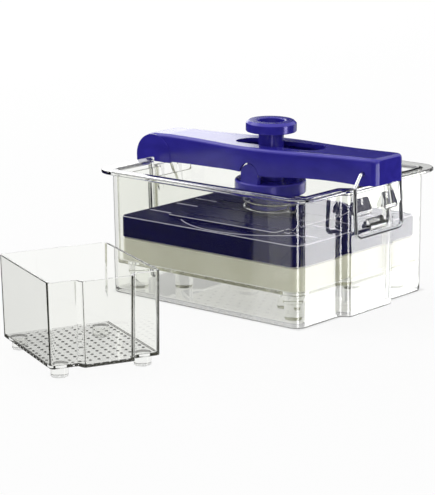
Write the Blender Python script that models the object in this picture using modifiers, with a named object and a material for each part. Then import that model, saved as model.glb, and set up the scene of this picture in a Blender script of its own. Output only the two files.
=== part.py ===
"""Lever-action tofu press with a clear tub, a drain basket and a second small basket.

Metres, +Z up. Origin at the centre of the tub's underside, +X toward the latch end,
-Y toward the side that the small basket stands on.
"""
from math import asin, cos, degrees, pi, radians, sin, sqrt

import bmesh
import bpy
from mathutils import Matrix, Vector

# Shared clearances and construction steps
SEAT_GAP = 0.0003
RUN_GAP = 0.0005
OVERRUN = 0.004
WELD_DISTANCE = 0.00001
ARC_STEPS = 4
ROUND_SIDES = 20
SMALL_SIDES = 12

# Outer tub
TUB_LENGTH = 0.158
TUB_WIDTH = 0.132
TUB_HEIGHT = 0.082
TUB_WALL = 0.0022
TUB_FLOOR = 0.0024
TUB_DRAFT = 0.0008
TUB_CORNER = 0.0075
TUB_FOOT_BEVEL = 0.0008
FLANGE_REACH = 0.0074
FLANGE_THICK = 0.0022
BUMP_DEPTH = 0.0062
BUMP_HALF = 0.0215
BUMP_BLEND = 0.006

# Hinge bracket of the tub
HINGE_STANDOFF = 0.0043
HINGE_BELOW_RIM = 0.0005
HINGE_PIN_RADIUS = 0.002
HINGE_NOTCH_HALF = 0.0175
HINGE_NOTCH_DEPTH = 0.0055
LUG_INNER = 0.0065
LUG_THICK = 0.0045
LUG_RADIUS = 0.0055
LUG_DROP = 0.0235
CLIP_RADIUS = 0.0042
CLIP_THICK = 0.0008

# Catches on the latch end
CATCH_REACH = 0.0035
CATCH_TOP_SLOPE = 0.0025
CATCH_LIP = 0.0008
LOW_CATCH_HALF = 0.011
LOW_CATCH_DEPTH = 0.0289
LOW_CATCH_HEIGHT = 0.0084
HIGH_CATCH_INNER = 0.0065
HIGH_CATCH_OUTER = 0.0200
HIGH_CATCH_DEPTH = 0.0178
HIGH_CATCH_HEIGHT = 0.0108

# Pressing basket
BASKET_SIDE_GAP = 0.0007
BASKET_WALL = 0.0016
BASKET_BELOW_RIM = 0.0045
BASKET_FLOOR = 0.0018
BASKET_NOTCH_DEPTH = 0.0085
FOOT_HEIGHT = 0.0169
FOOT_RADIUS = 0.0058
FOOT_STEP_RADIUS = 0.0067
FOOT_STEP_HEIGHT = 0.0065
CORNER_FOOT_INSET_X = 0.0145
CORNER_FOOT_INSET_Y = 0.0140
INNER_FOOT_INSET_X = 0.0360
INNER_FOOT_INSET_Y = 0.0330
HOLE_RADIUS = 0.0016
HOLE_PITCH = 0.0128
HOLE_MARGIN = 0.0090

# Contents and plate
TOFU_CORNER = 0.006
PLATE_THICK = 0.0140
PLATE_SIDE_GAP = 0.0006
PLATE_CORNER = 0.005
PLATE_BEVEL = 0.0008
PLATEAU_LENGTH = 0.090
PLATEAU_WIDTH = 0.091
PLATEAU_RISE = 0.0022
PLATEAU_CORNER = 0.003
RIB_RISE = 0.0007
RIB_WIDTH = 0.0018
RIB_SHARES = (-0.78, -0.21, 0.21, 0.78)

# Press stack, measured along its own axis from the ear pivot
PRESS_X = 0.003
PIVOT_BELOW_HINGE = 0.0008
PRESS_TILT = radians(1.5)
DOME_RADIUS = 0.0270
CUP_RADIUS = 0.0232
CUP_HEIGHT = 0.0085
CUP_TOP_DROP = 0.0055
CUP_BEVEL = 0.0012
EAR_RADIUS = 0.0070
EAR_SETBACK = 0.0016
EAR_THICK = 0.0030
EAR_PIN_RADIUS = 0.0022
EAR_PIN_BLIND = 0.0010
EAR_BOSS_RADIUS = 0.0042
EAR_BOSS_WIDTH = 0.0043
EAR_NOTCH_GAP = 0.0013
STEM_RADIUS = 0.0082
STEM_TOP = 0.0255
KNOB_RADIUS = 0.0164
KNOB_HEIGHT = 0.0071
KNOB_BEVEL = 0.0015
KNOB_FOOT_BEVEL = 0.0006
KNOB_RECESS_RADIUS = 0.0088
KNOB_RECESS_DEPTH = 0.0036
KNOB_RECESS_BEVEL = 0.0008
SCREW_SHANK_RADIUS = 0.0018
SCREW_HEAD_RADIUS = 0.0032
SCREW_HEAD_HEIGHT = 0.0014
KNOB_SCREW_LENGTH = 0.0150
FOOT_SCREW_LENGTH = 0.0110
SHOE_TRAVEL = 0.0035
SHOE_SPRING_GAP = 0.0024
SPRING_WIRE = 0.0018
SPRING_OUTER = 0.0164
SPRING_PITCH = 0.0046
SPRING_FOOT_GAP = 0.0007
SPRING_POINTS_PER_TURN = 16
WASHER_BRIM = 0.0008
WASHER_THICK = 0.0006

# Lever
LEVER_WALL = 0.0023
LEVER_TOP_WALL = 0.0026
LEVER_ROUND = 0.0026
LEVER_OVERHANG = 0.0133
LEVER_WIDE_HALF = 0.0225
LEVER_END_HALF = 0.0150
LEVER_HEEL_HALF = 0.0140
LEVER_END_CORNER = 0.0045
LEVER_RIM_GAP = 0.0016
LEVER_SINK = 0.0024
LEVER_TOP_RISE = 0.0165
LEVER_END_RISE = 0.0189
LEVER_HEEL_DROP = 0.0039
CHEEK_AHEAD = 0.0032
CHEEK_ABOVE = 0.0003
CHEEK_RADIUS = 0.0150
CHEEK_RISE = 0.0008
END_NOTCH_RISE = 0.0045
SLOT_BEHIND = 0.0260
SLOT_AHEAD = 0.0430
SLOT_SIDE_GAP = 0.0018

# Shares that shape the lever: place from cheek (-1) over press (0) to end (1), width from
# the end's to the widest, underside from sunk to clear of the rim, top from heel to end
LEVER_SHARES = (
    (-0.873, -0.09, 0.00, 0.00),
    (-0.594, 0.13, 0.25, 0.04),
    (-0.370, 0.47, 0.45, 0.08),
    (-0.168, 0.85, 0.65, 0.17),
    (0.000, 1.00, 0.55, 0.25),
    (0.157, 0.91, 0.40, 0.33),
    (0.346, 0.61, 0.75, 0.42),
    (0.597, 0.23, 0.95, 0.63),
    (0.785, 0.08, 0.90, 0.83),
    (0.911, 0.04, 0.80, 0.96),
)
PRESS_TOP_SHARE = 0.25

# Latch bail
BAIL_FROM_END = 0.0099
BAIL_BELOW_TOP = 0.0100
BAIL_WIRE = 0.00125
BAIL_HALF = 0.0235
BAIL_SHOULDER_DROP = 0.0079
BAIL_REST_GAP = 0.0006
BAIL_END_Y = 0.0105
BAIL_BEND = 0.0015
BAIL_HOLE_GAP = 0.0004

# Small basket standing beside the press
SMALL_LENGTH = 0.0820
SMALL_WIDTH = 0.0686
SMALL_TOP = 0.0567
SMALL_UNDER = 0.0064
SMALL_WALL = 0.0015
SMALL_FLOOR = 0.0015
SMALL_DRAFT = 0.0008
SMALL_CORNER = 0.0032
SMALL_BUMP_DEPTH = 0.0050
SMALL_BUMP_HALF = 0.0156
SMALL_BUMP_BLEND = 0.0030
SMALL_STANDOFF = 0.1222
SMALL_AHEAD = 0.0107
SMALL_YAW = radians(-24.0)
SMALL_FOOT_RADIUS = 0.0050
SMALL_FOOT_INSET = 0.0088
SMALL_HOLE_RADIUS = 0.0013
SMALL_HOLE_PITCH = 0.0108
SMALL_HOLE_MARGIN = 0.0075

# Sizes that follow from the ones above
TUB_HALF_X = TUB_LENGTH / 2
TUB_HALF_Y = TUB_WIDTH / 2
DRAFT_PER_HEIGHT = TUB_DRAFT / TUB_HEIGHT
BUMP_FACE_X = TUB_HALF_X + BUMP_DEPTH
HINGE_X = -BUMP_FACE_X - HINGE_STANDOFF
HINGE_Z = TUB_HEIGHT - HINGE_BELOW_RIM
HINGE_NOTCH_FLOOR = TUB_HEIGHT - HINGE_NOTCH_DEPTH
LOW_CATCH_FLOOR = TUB_HEIGHT - LOW_CATCH_DEPTH
HIGH_CATCH_FLOOR = TUB_HEIGHT - HIGH_CATCH_DEPTH
BASKET_INSET = TUB_WALL + BASKET_SIDE_GAP
BASKET_TOP = TUB_HEIGHT - BASKET_BELOW_RIM
FOOT_UNDER = TUB_FLOOR + SEAT_GAP
BASKET_FLOOR_UNDER = FOOT_UNDER + FOOT_HEIGHT
FLOOR_TOP = BASKET_FLOOR_UNDER + BASKET_FLOOR
PIVOT_Z = HINGE_Z - PIVOT_BELOW_HINGE
PLATEAU_TOP = PIVOT_Z - DOME_RADIUS - SEAT_GAP
PLATE_TOP = PLATEAU_TOP - PLATEAU_RISE
PLATE_UNDER = PLATE_TOP - PLATE_THICK
TOFU_TOP = PLATE_UNDER - SEAT_GAP
CUP_BORE = STEM_RADIUS + RUN_GAP
CUP_TOP = -CUP_TOP_DROP
CUP_UNDER = CUP_TOP - CUP_HEIGHT
WASHER_TOP = CUP_UNDER - SEAT_GAP
WASHER_UNDER = WASHER_TOP - WASHER_THICK
SHOE_TOP = WASHER_UNDER - SHOE_TRAVEL
SHOE_SEAT = (SHOE_TOP - DOME_RADIUS) / 2
SHOE_RADIUS = SPRING_OUTER - SPRING_WIRE - SHOE_SPRING_GAP
EAR_OUTER = CUP_RADIUS - EAR_SETBACK
EAR_BOSS_OUTER = EAR_OUTER - EAR_THICK - SEAT_GAP
EAR_PIN_INNER = EAR_BOSS_OUTER - EAR_BOSS_WIDTH
KNOB_UNDER = STEM_TOP + SEAT_GAP
CHEEK_X = HINGE_X + CHEEK_AHEAD
CHEEK_Z = HINGE_Z + CHEEK_ABOVE
LEVER_LEFT_X = CHEEK_X - CHEEK_RADIUS - LEVER_ROUND / 4
LEVER_RIGHT_X = BUMP_FACE_X + LEVER_OVERHANG
LEVER_LOW_UNDER = TUB_HEIGHT - LEVER_SINK
LEVER_END_UNDER = TUB_HEIGHT + LEVER_RIM_GAP
LEVER_HEEL_UNDER = HINGE_Z - LEVER_HEEL_DROP
LEVER_HEEL_TOP = HINGE_Z + LEVER_TOP_RISE
LEVER_END_TOP = HINGE_Z + LEVER_END_RISE
SLOT_HALF = STEM_RADIUS + SLOT_SIDE_GAP
BAIL_X = LEVER_RIGHT_X - BAIL_FROM_END
BAIL_Z = LEVER_END_TOP - BAIL_BELOW_TOP
SMALL_CENTRE_X = PRESS_X + SMALL_AHEAD
SMALL_CENTRE_Y = -TUB_HALF_Y - SMALL_STANDOFF


def inward(height):
    """How far the tapering tub wall has moved in at a height above the floor."""
    return DRAFT_PER_HEIGHT * (TUB_HEIGHT - height)


# Scene helpers

def clear_scene():
    for item in list(bpy.data.objects):
        bpy.data.objects.remove(item, do_unlink=True)


def new_collection(name):
    made = bpy.data.collections.new(name)
    bpy.context.scene.collection.children.link(made)
    return made


def material(name, colour, roughness, metallic=0.0, clear=0.0):
    made = bpy.data.materials.new(name)
    made.use_nodes = True
    shader = made.node_tree.nodes["Principled BSDF"]
    shader.inputs["Base Color"].default_value = (*colour, 1.0)
    shader.inputs["Roughness"].default_value = roughness
    shader.inputs["Metallic"].default_value = metallic
    shader.inputs["Transmission Weight"].default_value = clear
    return made


def finish(obj, collection, look, parent=None):
    """Put a piece in its collection, give it its material and shade it."""
    for holder in list(obj.users_collection):
        holder.objects.unlink(obj)
    collection.objects.link(obj)
    obj.data.materials.clear()
    obj.data.materials.append(look)
    obj.data.shade_smooth()
    obj.data.set_sharp_from_angle(angle=radians(35))
    if parent is not None:
        obj.parent = parent
    return obj


def object_from(mesh_maker, name):
    """A new object in the scene whose mesh the given function fills."""
    mesh = bpy.data.meshes.new(name)
    builder = bmesh.new()
    mesh_maker(builder)
    bmesh.ops.recalc_face_normals(builder, faces=builder.faces)
    builder.to_mesh(mesh)
    builder.free()
    made = bpy.data.objects.new(name, mesh)
    bpy.context.scene.collection.objects.link(made)
    return made


def cut(target, tool, operation="DIFFERENCE"):
    """Boolean one piece with another and keep the result as a plain mesh."""
    step = target.modifiers.new(operation.lower(), "BOOLEAN")
    step.operation = operation
    step.solver = "EXACT"
    step.object = tool
    bpy.context.view_layer.update()
    graph = bpy.context.evaluated_depsgraph_get()
    result = bpy.data.meshes.new_from_object(target.evaluated_get(graph))
    target.modifiers.clear()
    old = target.data
    target.data = result
    bpy.data.meshes.remove(old)
    bpy.data.objects.remove(tool, do_unlink=True)
    return target


# Shape helpers

def loft(name, loops):
    """A closed solid through loops with the same number of points, ends capped."""
    def fill(builder):
        rings = [[builder.verts.new(point) for point in loop] for loop in loops]
        count = len(rings[0])
        for lower, upper in zip(rings, rings[1:]):
            for i in range(count):
                j = (i + 1) % count
                builder.faces.new((lower[i], lower[j], upper[j], upper[i]))
        builder.faces.new(list(reversed(rings[0])))
        builder.faces.new(rings[-1])
    return object_from(fill, name)


def turned(name, profile, sides=ROUND_SIDES):
    """A solid of revolution about Z from (radius, height) points, top to bottom."""
    def fill(builder):
        closed = profile[0] == profile[-1]
        points = profile[:-1] if closed else profile
        verts = [builder.verts.new((radius, 0, height)) for radius, height in points]
        for first, second in zip(verts, verts[1:] + (verts[:1] if closed else [])):
            builder.edges.new((first, second))
    obj = object_from(fill, name)
    screw = obj.modifiers.new("turn", "SCREW")
    screw.steps = sides
    screw.render_steps = sides
    screw.use_merge_vertices = True
    screw.merge_threshold = WELD_DISTANCE
    screw.use_normal_calculate = True
    bpy.context.view_layer.update()
    graph = bpy.context.evaluated_depsgraph_get()
    result = bpy.data.meshes.new_from_object(obj.evaluated_get(graph))
    obj.modifiers.clear()
    old = obj.data
    obj.data = result
    bpy.data.meshes.remove(old)
    tidy = bmesh.new()
    tidy.from_mesh(result)
    bmesh.ops.recalc_face_normals(tidy, faces=tidy.faces)
    tidy.to_mesh(result)
    tidy.free()
    return obj


def rod(name, radius, start, end, sides=SMALL_SIDES):
    """A capped cylinder between two points."""
    start, end = Vector(start), Vector(end)
    span = end - start
    turn = span.to_track_quat("Z", "Y").to_matrix().to_4x4()
    place = Matrix.Translation((start + end) / 2) @ turn

    def fill(builder):
        bmesh.ops.create_cone(builder, cap_ends=True, segments=sides, radius1=radius,
                              radius2=radius, depth=span.length, matrix=place)
    return object_from(fill, name)


def block(name, low, high):
    """A box between two corners."""
    low, high = Vector(low), Vector(high)
    size = high - low
    place = Matrix.Translation((low + high) / 2) @ Matrix.Diagonal((*size, 1))

    def fill(builder):
        bmesh.ops.create_cube(builder, size=1, matrix=place)
    return object_from(fill, name)


def mesh_of_curve(curve_object):
    """Turn a curve into a mesh object with its caps welded on."""
    bpy.context.view_layer.update()
    graph = bpy.context.evaluated_depsgraph_get()
    mesh = bpy.data.meshes.new_from_object(curve_object.evaluated_get(graph))
    weld = bmesh.new()
    weld.from_mesh(mesh)
    bmesh.ops.remove_doubles(weld, verts=weld.verts, dist=WELD_DISTANCE)
    bmesh.ops.recalc_face_normals(weld, faces=weld.faces)
    weld.to_mesh(mesh)
    weld.free()
    name = curve_object.name
    place = curve_object.matrix_world.copy()
    bpy.data.objects.remove(curve_object, do_unlink=True)
    made = bpy.data.objects.new(name, mesh)
    bpy.context.scene.collection.objects.link(made)
    made.matrix_world = place
    return made


def upright_plate(name, outline, low_y, high_y):
    """A flat plate standing in the XZ plane, from low_y to high_y."""
    flat = bpy.data.curves.new(name, "CURVE")
    flat.dimensions = "2D"
    flat.fill_mode = "BOTH"
    flat.extrude = (high_y - low_y) / 2
    line = flat.splines.new("POLY")
    line.points.add(len(outline) - 1)
    line.use_cyclic_u = True
    for point, (x, z) in zip(line.points, outline):
        point.co = (x, z, 0, 1)
    made = bpy.data.objects.new(name, flat)
    bpy.context.scene.collection.objects.link(made)
    made.matrix_world = (Matrix.Translation((0, (low_y + high_y) / 2, 0))
                         @ Matrix.Rotation(radians(90), 4, "X"))
    return apply_place(mesh_of_curve(made))


def wire(name, points, radius, resolution=2):
    """A round wire along a chain of points."""
    line = bpy.data.curves.new(name, "CURVE")
    line.dimensions = "3D"
    line.bevel_depth = radius
    line.bevel_resolution = resolution
    line.resolution_u = 1
    line.use_fill_caps = True
    chain = line.splines.new("POLY")
    chain.points.add(len(points) - 1)
    for point, place in zip(chain.points, points):
        point.co = (*place, 1)
    made = bpy.data.objects.new(name, line)
    bpy.context.scene.collection.objects.link(made)
    return mesh_of_curve(made)


def apply_place(obj):
    """Bake an object's placing into its mesh."""
    obj.data.transform(obj.matrix_world)
    obj.matrix_world = Matrix.Identity(4)
    return obj


def arc(centre_x, centre_z, radius, start, end, steps=ARC_STEPS):
    """Points on an arc in a plane, angles in degrees."""
    return [(centre_x + radius * cos(radians(start + (end - start) * i / steps)),
             centre_z + radius * sin(radians(start + (end - start) * i / steps)))
            for i in range(steps + 1)]


def rounded_chain(points, radius, steps=ARC_STEPS):
    """The chain of points with each inner corner rounded by an arc."""
    points = [Vector(point) for point in points]
    chain = [points[0]]
    for before, corner, after in zip(points, points[1:], points[2:]):
        back = (before - corner).normalized()
        ahead = (after - corner).normalized()
        half = back.angle(ahead) / 2
        reach = radius / sin(half) * cos(half)
        centre = corner + (back + ahead).normalized() * radius / sin(half)
        first = corner + back * reach - centre
        last = corner + ahead * reach - centre
        swing = first.angle(last)
        for i in range(steps + 1):
            share = i / steps
            chain.append(centre + (first * sin(swing * (1 - share)) + last * sin(swing * share))
                         / sin(swing))
    chain.append(points[-1])
    return chain


def stepped_end(half_x, bump, bump_half, blend):
    """Points up a short end, which steps outward over the bump and back."""
    steps = [(0.5 - 0.5 * cos(pi * i / 3), i / 3) for i in range(4)]
    rising = [(half_x + bump * rise, -bump_half - blend * (1 - share)) for rise, share in steps]
    return rising + [(x, -y) for x, y in reversed(rising)]


def outline(half_x, half_y, corner, bump, bump_half, blend, left_bump=None):
    """A rounded rectangle whose short ends step outward by the bump, the left one by its own."""
    left_bump = bump if left_bump is None else left_bump
    left = [(-x, -y) for x, y in stepped_end(half_x, left_bump, bump_half, blend)]
    points = []
    points += arc(half_x - corner, -half_y + corner, corner, -90, 0)
    points += stepped_end(half_x, bump, bump_half, blend)
    points += arc(half_x - corner, half_y - corner, corner, 0, 90)
    points += arc(-half_x + corner, half_y - corner, corner, 90, 180)
    points += left
    points += arc(-half_x + corner, -half_y + corner, corner, 180, 270)
    return points


def tub_ring(offset, height, bump=BUMP_DEPTH):
    """The tub's outline moved outward by an offset, at a height."""
    flat = outline(TUB_HALF_X + offset, TUB_HALF_Y + offset,
                   max(TUB_CORNER + offset, TUB_WALL), bump, BUMP_HALF + offset, BUMP_BLEND)
    return [(x, y, height) for x, y in flat]


def hole_grid(length, width, pitch, margin):
    """Staggered hole centres that fit a floor, centred on it."""
    row_pitch = pitch * sqrt(3) / 2
    rows = int((width / 2 - margin) / row_pitch)
    places = []
    for row in range(-rows, rows + 1):
        shift = pitch / 2 if row % 2 else 0
        columns = int((length / 2 - margin + shift) / pitch)
        for column in range(-columns, columns + 1):
            x = column * pitch + shift
            if abs(x) <= length / 2 - margin:
                places.append((x, row * row_pitch))
    return places


def hole_cutter(places, radius, low, high, avoid=()):
    """One object of six-sided pins at the hole centres, clear of the feet."""
    def fill(builder):
        for x, y in places:
            if all(sqrt((x - fx) ** 2 + (y - fy) ** 2) > reach for fx, fy, reach in avoid):
                place = Matrix.Translation((x, y, (low + high) / 2))
                bmesh.ops.create_cone(builder, cap_ends=True, segments=6, radius1=radius,
                                      radius2=radius, depth=high - low, matrix=place)
    return object_from(fill, "hole_cutter")


# Pieces of the tub

def catch(name, low_y, high_y, floor, height):
    """A catch on the latch end, hollow below so that the bail wire seats in it."""
    face = BUMP_FACE_X - inward(floor)
    root = face - TUB_WALL / 2
    tip = face + CATCH_REACH
    top = floor + height
    profile = [(root, floor + CATCH_LIP), (face, floor + CATCH_LIP)]
    profile += arc(face + BAIL_WIRE, floor + CATCH_LIP / 2, BAIL_WIRE, 150, 30)
    profile += [(tip - CATCH_LIP / 2, floor), (tip, floor + CATCH_LIP),
                (tip, top - CATCH_TOP_SLOPE), (face, top), (root, top)]
    return upright_plate(name, profile, low_y, high_y)


def hinge_lug(name, side):
    """A lug that carries the hinge pin, with its gusset down the wall."""
    foot_z = HINGE_Z - LUG_DROP
    face = -BUMP_FACE_X + inward(foot_z)
    root = face + TUB_WALL / 2
    top_root = HINGE_NOTCH_FLOOR - TUB_WALL
    profile = arc(HINGE_X, HINGE_Z, LUG_RADIUS, 20, 205, steps=7)
    profile += [(face, foot_z), (root, foot_z), (root, top_root)]
    low = LUG_INNER if side > 0 else -LUG_INNER - LUG_THICK
    return upright_plate(name, profile, low, low + LUG_THICK)


def outer_tub():
    rim_under = TUB_HEIGHT - FLANGE_THICK
    edge = FLANGE_THICK / 4
    rings = [
        tub_ring(-inward(0) - TUB_FOOT_BEVEL, 0),
        tub_ring(-inward(TUB_FOOT_BEVEL), TUB_FOOT_BEVEL),
        tub_ring(0, rim_under),
        tub_ring(FLANGE_REACH - edge, rim_under, 0),
        tub_ring(FLANGE_REACH, rim_under + edge, 0),
        tub_ring(FLANGE_REACH, TUB_HEIGHT - edge, 0),
        tub_ring(FLANGE_REACH - edge, TUB_HEIGHT, 0),
        tub_ring(-TUB_WALL, TUB_HEIGHT),
        tub_ring(-TUB_WALL - inward(TUB_FLOOR), TUB_FLOOR),
    ]
    tub = loft("outer_tub", rings)
    reach = BUMP_FACE_X + FLANGE_REACH
    notch = block("hinge_notch", (-reach - OVERRUN, -HINGE_NOTCH_HALF, HINGE_NOTCH_FLOOR),
                  (-TUB_HALF_X + TUB_WALL, HINGE_NOTCH_HALF, TUB_HEIGHT + OVERRUN))
    cut(tub, notch)
    for side in (-1, 1):
        cut(tub, hinge_lug("hinge_lug", side), "UNION")
    cut(tub, catch("low_catch", -LOW_CATCH_HALF, LOW_CATCH_HALF,
                   LOW_CATCH_FLOOR, LOW_CATCH_HEIGHT), "UNION")
    for low_y, high_y in ((-HIGH_CATCH_OUTER, -HIGH_CATCH_INNER),
                          (HIGH_CATCH_INNER, HIGH_CATCH_OUTER)):
        cut(tub, catch("high_catch", low_y, high_y, HIGH_CATCH_FLOOR, HIGH_CATCH_HEIGHT),
            "UNION")
    lug_reach = LUG_INNER + LUG_THICK + OVERRUN
    cut(tub, rod("pin_bore", HINGE_PIN_RADIUS + SEAT_GAP,
                 (HINGE_X, -lug_reach, HINGE_Z), (HINGE_X, lug_reach, HINGE_Z)))
    return tub


def hinge_pin():
    reach = LEVER_HEEL_HALF - LEVER_WALL / 2
    return rod("hinge_pin", HINGE_PIN_RADIUS, (HINGE_X, -reach, HINGE_Z),
               (HINGE_X, reach, HINGE_Z))


def hinge_clip(name, side):
    """A push-on retaining ring beside a lug, on the inner side."""
    outer = side * (LUG_INNER - SEAT_GAP)
    inner = outer - side * CLIP_THICK
    clip = rod(name, CLIP_RADIUS, (HINGE_X, inner, HINGE_Z), (HINGE_X, outer, HINGE_Z), 16)
    bore = rod("clip_bore", HINGE_PIN_RADIUS + SEAT_GAP,
               (HINGE_X, inner - side * OVERRUN, HINGE_Z),
               (HINGE_X, outer + side * OVERRUN, HINGE_Z))
    cut(clip, bore)
    mouth_half = HINGE_PIN_RADIUS / 2
    mouth = block("clip_mouth", (HINGE_X - mouth_half, min(inner, outer) - OVERRUN,
                                 HINGE_Z - CLIP_RADIUS - OVERRUN),
                  (HINGE_X + mouth_half, max(inner, outer) + OVERRUN, HINGE_Z))
    return cut(clip, mouth)


# Pieces in the tub

def foot_places():
    """Centres of the basket's moulded feet."""
    insets = ((CORNER_FOOT_INSET_X, CORNER_FOOT_INSET_Y), (INNER_FOOT_INSET_X, INNER_FOOT_INSET_Y))
    return [(side_x * (TUB_HALF_X - inset_x), side_y * (TUB_HALF_Y - inset_y))
            for inset_x, inset_y in insets for side_x in (-1, 1) for side_y in (-1, 1)]


def basket_ring(offset, height):
    return tub_ring(-BASKET_INSET - inward(height) - offset, height)


def pressing_basket():
    basket = loft("pressing_basket", [
        basket_ring(0, BASKET_FLOOR_UNDER),
        basket_ring(0, BASKET_TOP),
        basket_ring(BASKET_WALL, BASKET_TOP),
        basket_ring(BASKET_WALL, FLOOR_TOP),
    ])
    notch = block("basket_notch", (-BUMP_FACE_X, -HINGE_NOTCH_HALF,
                                    BASKET_TOP - BASKET_NOTCH_DEPTH),
                  (-TUB_HALF_X + BASKET_INSET + BASKET_WALL + OVERRUN, HINGE_NOTCH_HALF,
                   BASKET_TOP + OVERRUN))
    cut(basket, notch)
    sink = BASKET_FLOOR / 2
    for x, y in foot_places():
        foot = turned("foot", [
            (0, BASKET_FLOOR_UNDER + sink),
            (FOOT_STEP_RADIUS, BASKET_FLOOR_UNDER + sink),
            (FOOT_STEP_RADIUS, BASKET_FLOOR_UNDER - FOOT_STEP_HEIGHT),
            (FOOT_RADIUS, BASKET_FLOOR_UNDER - FOOT_STEP_HEIGHT),
            (FOOT_RADIUS, FOOT_UNDER),
            (0, FOOT_UNDER),
        ], sides=14)
        foot.data.transform(Matrix.Translation((x, y, 0)))
        cut(basket, foot, "UNION")
    inside = BASKET_INSET + BASKET_WALL + inward(FLOOR_TOP)
    places = hole_grid(TUB_LENGTH - 2 * inside, TUB_WIDTH - 2 * inside, HOLE_PITCH, HOLE_MARGIN)
    avoid = [(x, y, FOOT_STEP_RADIUS + HOLE_RADIUS) for x, y in foot_places()]
    cut(basket, hole_cutter(places, HOLE_RADIUS, BASKET_FLOOR_UNDER - OVERRUN,
                            FLOOR_TOP + OVERRUN, avoid))
    return basket


def slab(name, half_x, half_y, corner, low, high, bevel):
    """A flat block with rounded upright corners and bevelled edges."""
    bevel = min(bevel, (high - low) / 4)
    rings = []
    for inset, height in ((bevel, low), (0, low + bevel), (0, high - bevel), (bevel, high)):
        flat = outline(half_x - inset, half_y - inset, corner, 0, half_y / 3, half_y / 6)
        rings.append([(x, y, height) for x, y in flat])
    return loft(name, rings)


def inside_half(height, gap):
    """Half sizes of the basket's inside at a height, less a side gap."""
    inset = BASKET_INSET + BASKET_WALL + inward(height) + gap
    return TUB_HALF_X - inset, TUB_HALF_Y - inset


def tofu_block():
    half_x, half_y = inside_half(FLOOR_TOP, RUN_GAP)
    return slab("tofu_block", half_x, half_y, TOFU_CORNER, FLOOR_TOP + SEAT_GAP, TOFU_TOP,
                PLATE_BEVEL)


def press_plate():
    half_x, half_y = inside_half(FLOOR_TOP, PLATE_SIDE_GAP)
    plate = slab("press_plate", half_x, half_y, PLATE_CORNER, PLATE_UNDER, PLATE_TOP,
                 PLATE_BEVEL)
    plateau = slab("plateau", PLATEAU_LENGTH / 2, PLATEAU_WIDTH / 2, PLATEAU_CORNER,
                   PLATE_TOP - PLATEAU_RISE, PLATEAU_TOP, PLATE_BEVEL)
    cut(plate, plateau, "UNION")
    for share in RIB_SHARES:
        y = share * PLATEAU_WIDTH / 2
        rib = block("rib", (-half_x + PLATE_CORNER, y - RIB_WIDTH / 2, PLATE_TOP - PLATEAU_RISE),
                    (half_x - PLATE_CORNER, y + RIB_WIDTH / 2, PLATE_TOP + RIB_RISE))
        cut(plate, rib, "UNION")
    return plate


# Press stack, modelled upright about the ear pivot

def presser_cup():
    top, under = CUP_TOP, CUP_UNDER
    cup = turned("presser_cup", [
        (CUP_BORE, top), (CUP_RADIUS - CUP_BEVEL, top), (CUP_RADIUS, top - CUP_BEVEL),
        (CUP_RADIUS, under + CUP_BEVEL), (CUP_RADIUS - CUP_BEVEL, under), (CUP_BORE, under),
        (CUP_BORE, top),
    ], sides=32)
    low = (top + under) / 2
    profile = arc(0, 0, EAR_RADIUS, 0, 180, steps=8) + [(-EAR_RADIUS, low), (EAR_RADIUS, low)]
    for side in (-1, 1):
        near = EAR_OUTER - EAR_THICK if side > 0 else -EAR_OUTER
        cut(cup, upright_plate("ear", profile, near, near + EAR_THICK), "UNION")
        start = side * (EAR_OUTER - EAR_THICK - OVERRUN)
        end = side * (EAR_OUTER - EAR_PIN_BLIND)
        cut(cup, rod("ear_bore", EAR_PIN_RADIUS + SEAT_GAP, (0, start, 0), (0, end, 0)))
    return cup


def presser_pin(name, side):
    end = EAR_OUTER - EAR_PIN_BLIND - SEAT_GAP
    return rod(name, EAR_PIN_RADIUS, (0, side * EAR_PIN_INNER, 0), (0, side * end, 0))


def knob_stem():
    low = SHOE_TOP + SEAT_GAP
    bore = SCREW_SHANK_RADIUS + SEAT_GAP
    return turned("knob_stem", [
        (bore, STEM_TOP), (STEM_RADIUS, STEM_TOP), (STEM_RADIUS, low), (bore, low),
        (bore, STEM_TOP),
    ], sides=24)


def knob():
    top = KNOB_UNDER + KNOB_HEIGHT
    floor = top - KNOB_RECESS_DEPTH
    bore = SCREW_SHANK_RADIUS + SEAT_GAP
    return turned("knob", [
        (bore, floor), (KNOB_RECESS_RADIUS, floor), (KNOB_RECESS_RADIUS, top - KNOB_RECESS_BEVEL),
        (KNOB_RECESS_RADIUS + KNOB_RECESS_BEVEL, top), (KNOB_RADIUS - KNOB_BEVEL, top),
        (KNOB_RADIUS, top - KNOB_BEVEL), (KNOB_RADIUS, KNOB_UNDER + KNOB_FOOT_BEVEL),
        (KNOB_RADIUS - KNOB_FOOT_BEVEL, KNOB_UNDER), (bore, KNOB_UNDER), (bore, floor),
    ], sides=32)


def screw_piece(name, head_under, length, up):
    """A screw with a low round head; the shank runs away from the head."""
    crown = head_under + up * SCREW_HEAD_HEIGHT
    tip = head_under - up * length
    profile = [(0, crown), (SCREW_HEAD_RADIUS - SCREW_HEAD_HEIGHT / 2, crown),
               (SCREW_HEAD_RADIUS, crown - up * SCREW_HEAD_HEIGHT / 2),
               (SCREW_HEAD_RADIUS, head_under), (SCREW_SHANK_RADIUS, head_under),
               (SCREW_SHANK_RADIUS, tip), (0, tip)]
    return turned(name, profile, sides=SMALL_SIDES)


def knob_screw():
    floor = KNOB_UNDER + KNOB_HEIGHT - KNOB_RECESS_DEPTH
    return screw_piece("knob_screw", floor + SEAT_GAP, KNOB_SCREW_LENGTH, 1)


def dome_height(radius):
    """Height of the shoe's domed sole at a distance from its axis."""
    return -sqrt(DOME_RADIUS ** 2 - radius ** 2)


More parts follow.
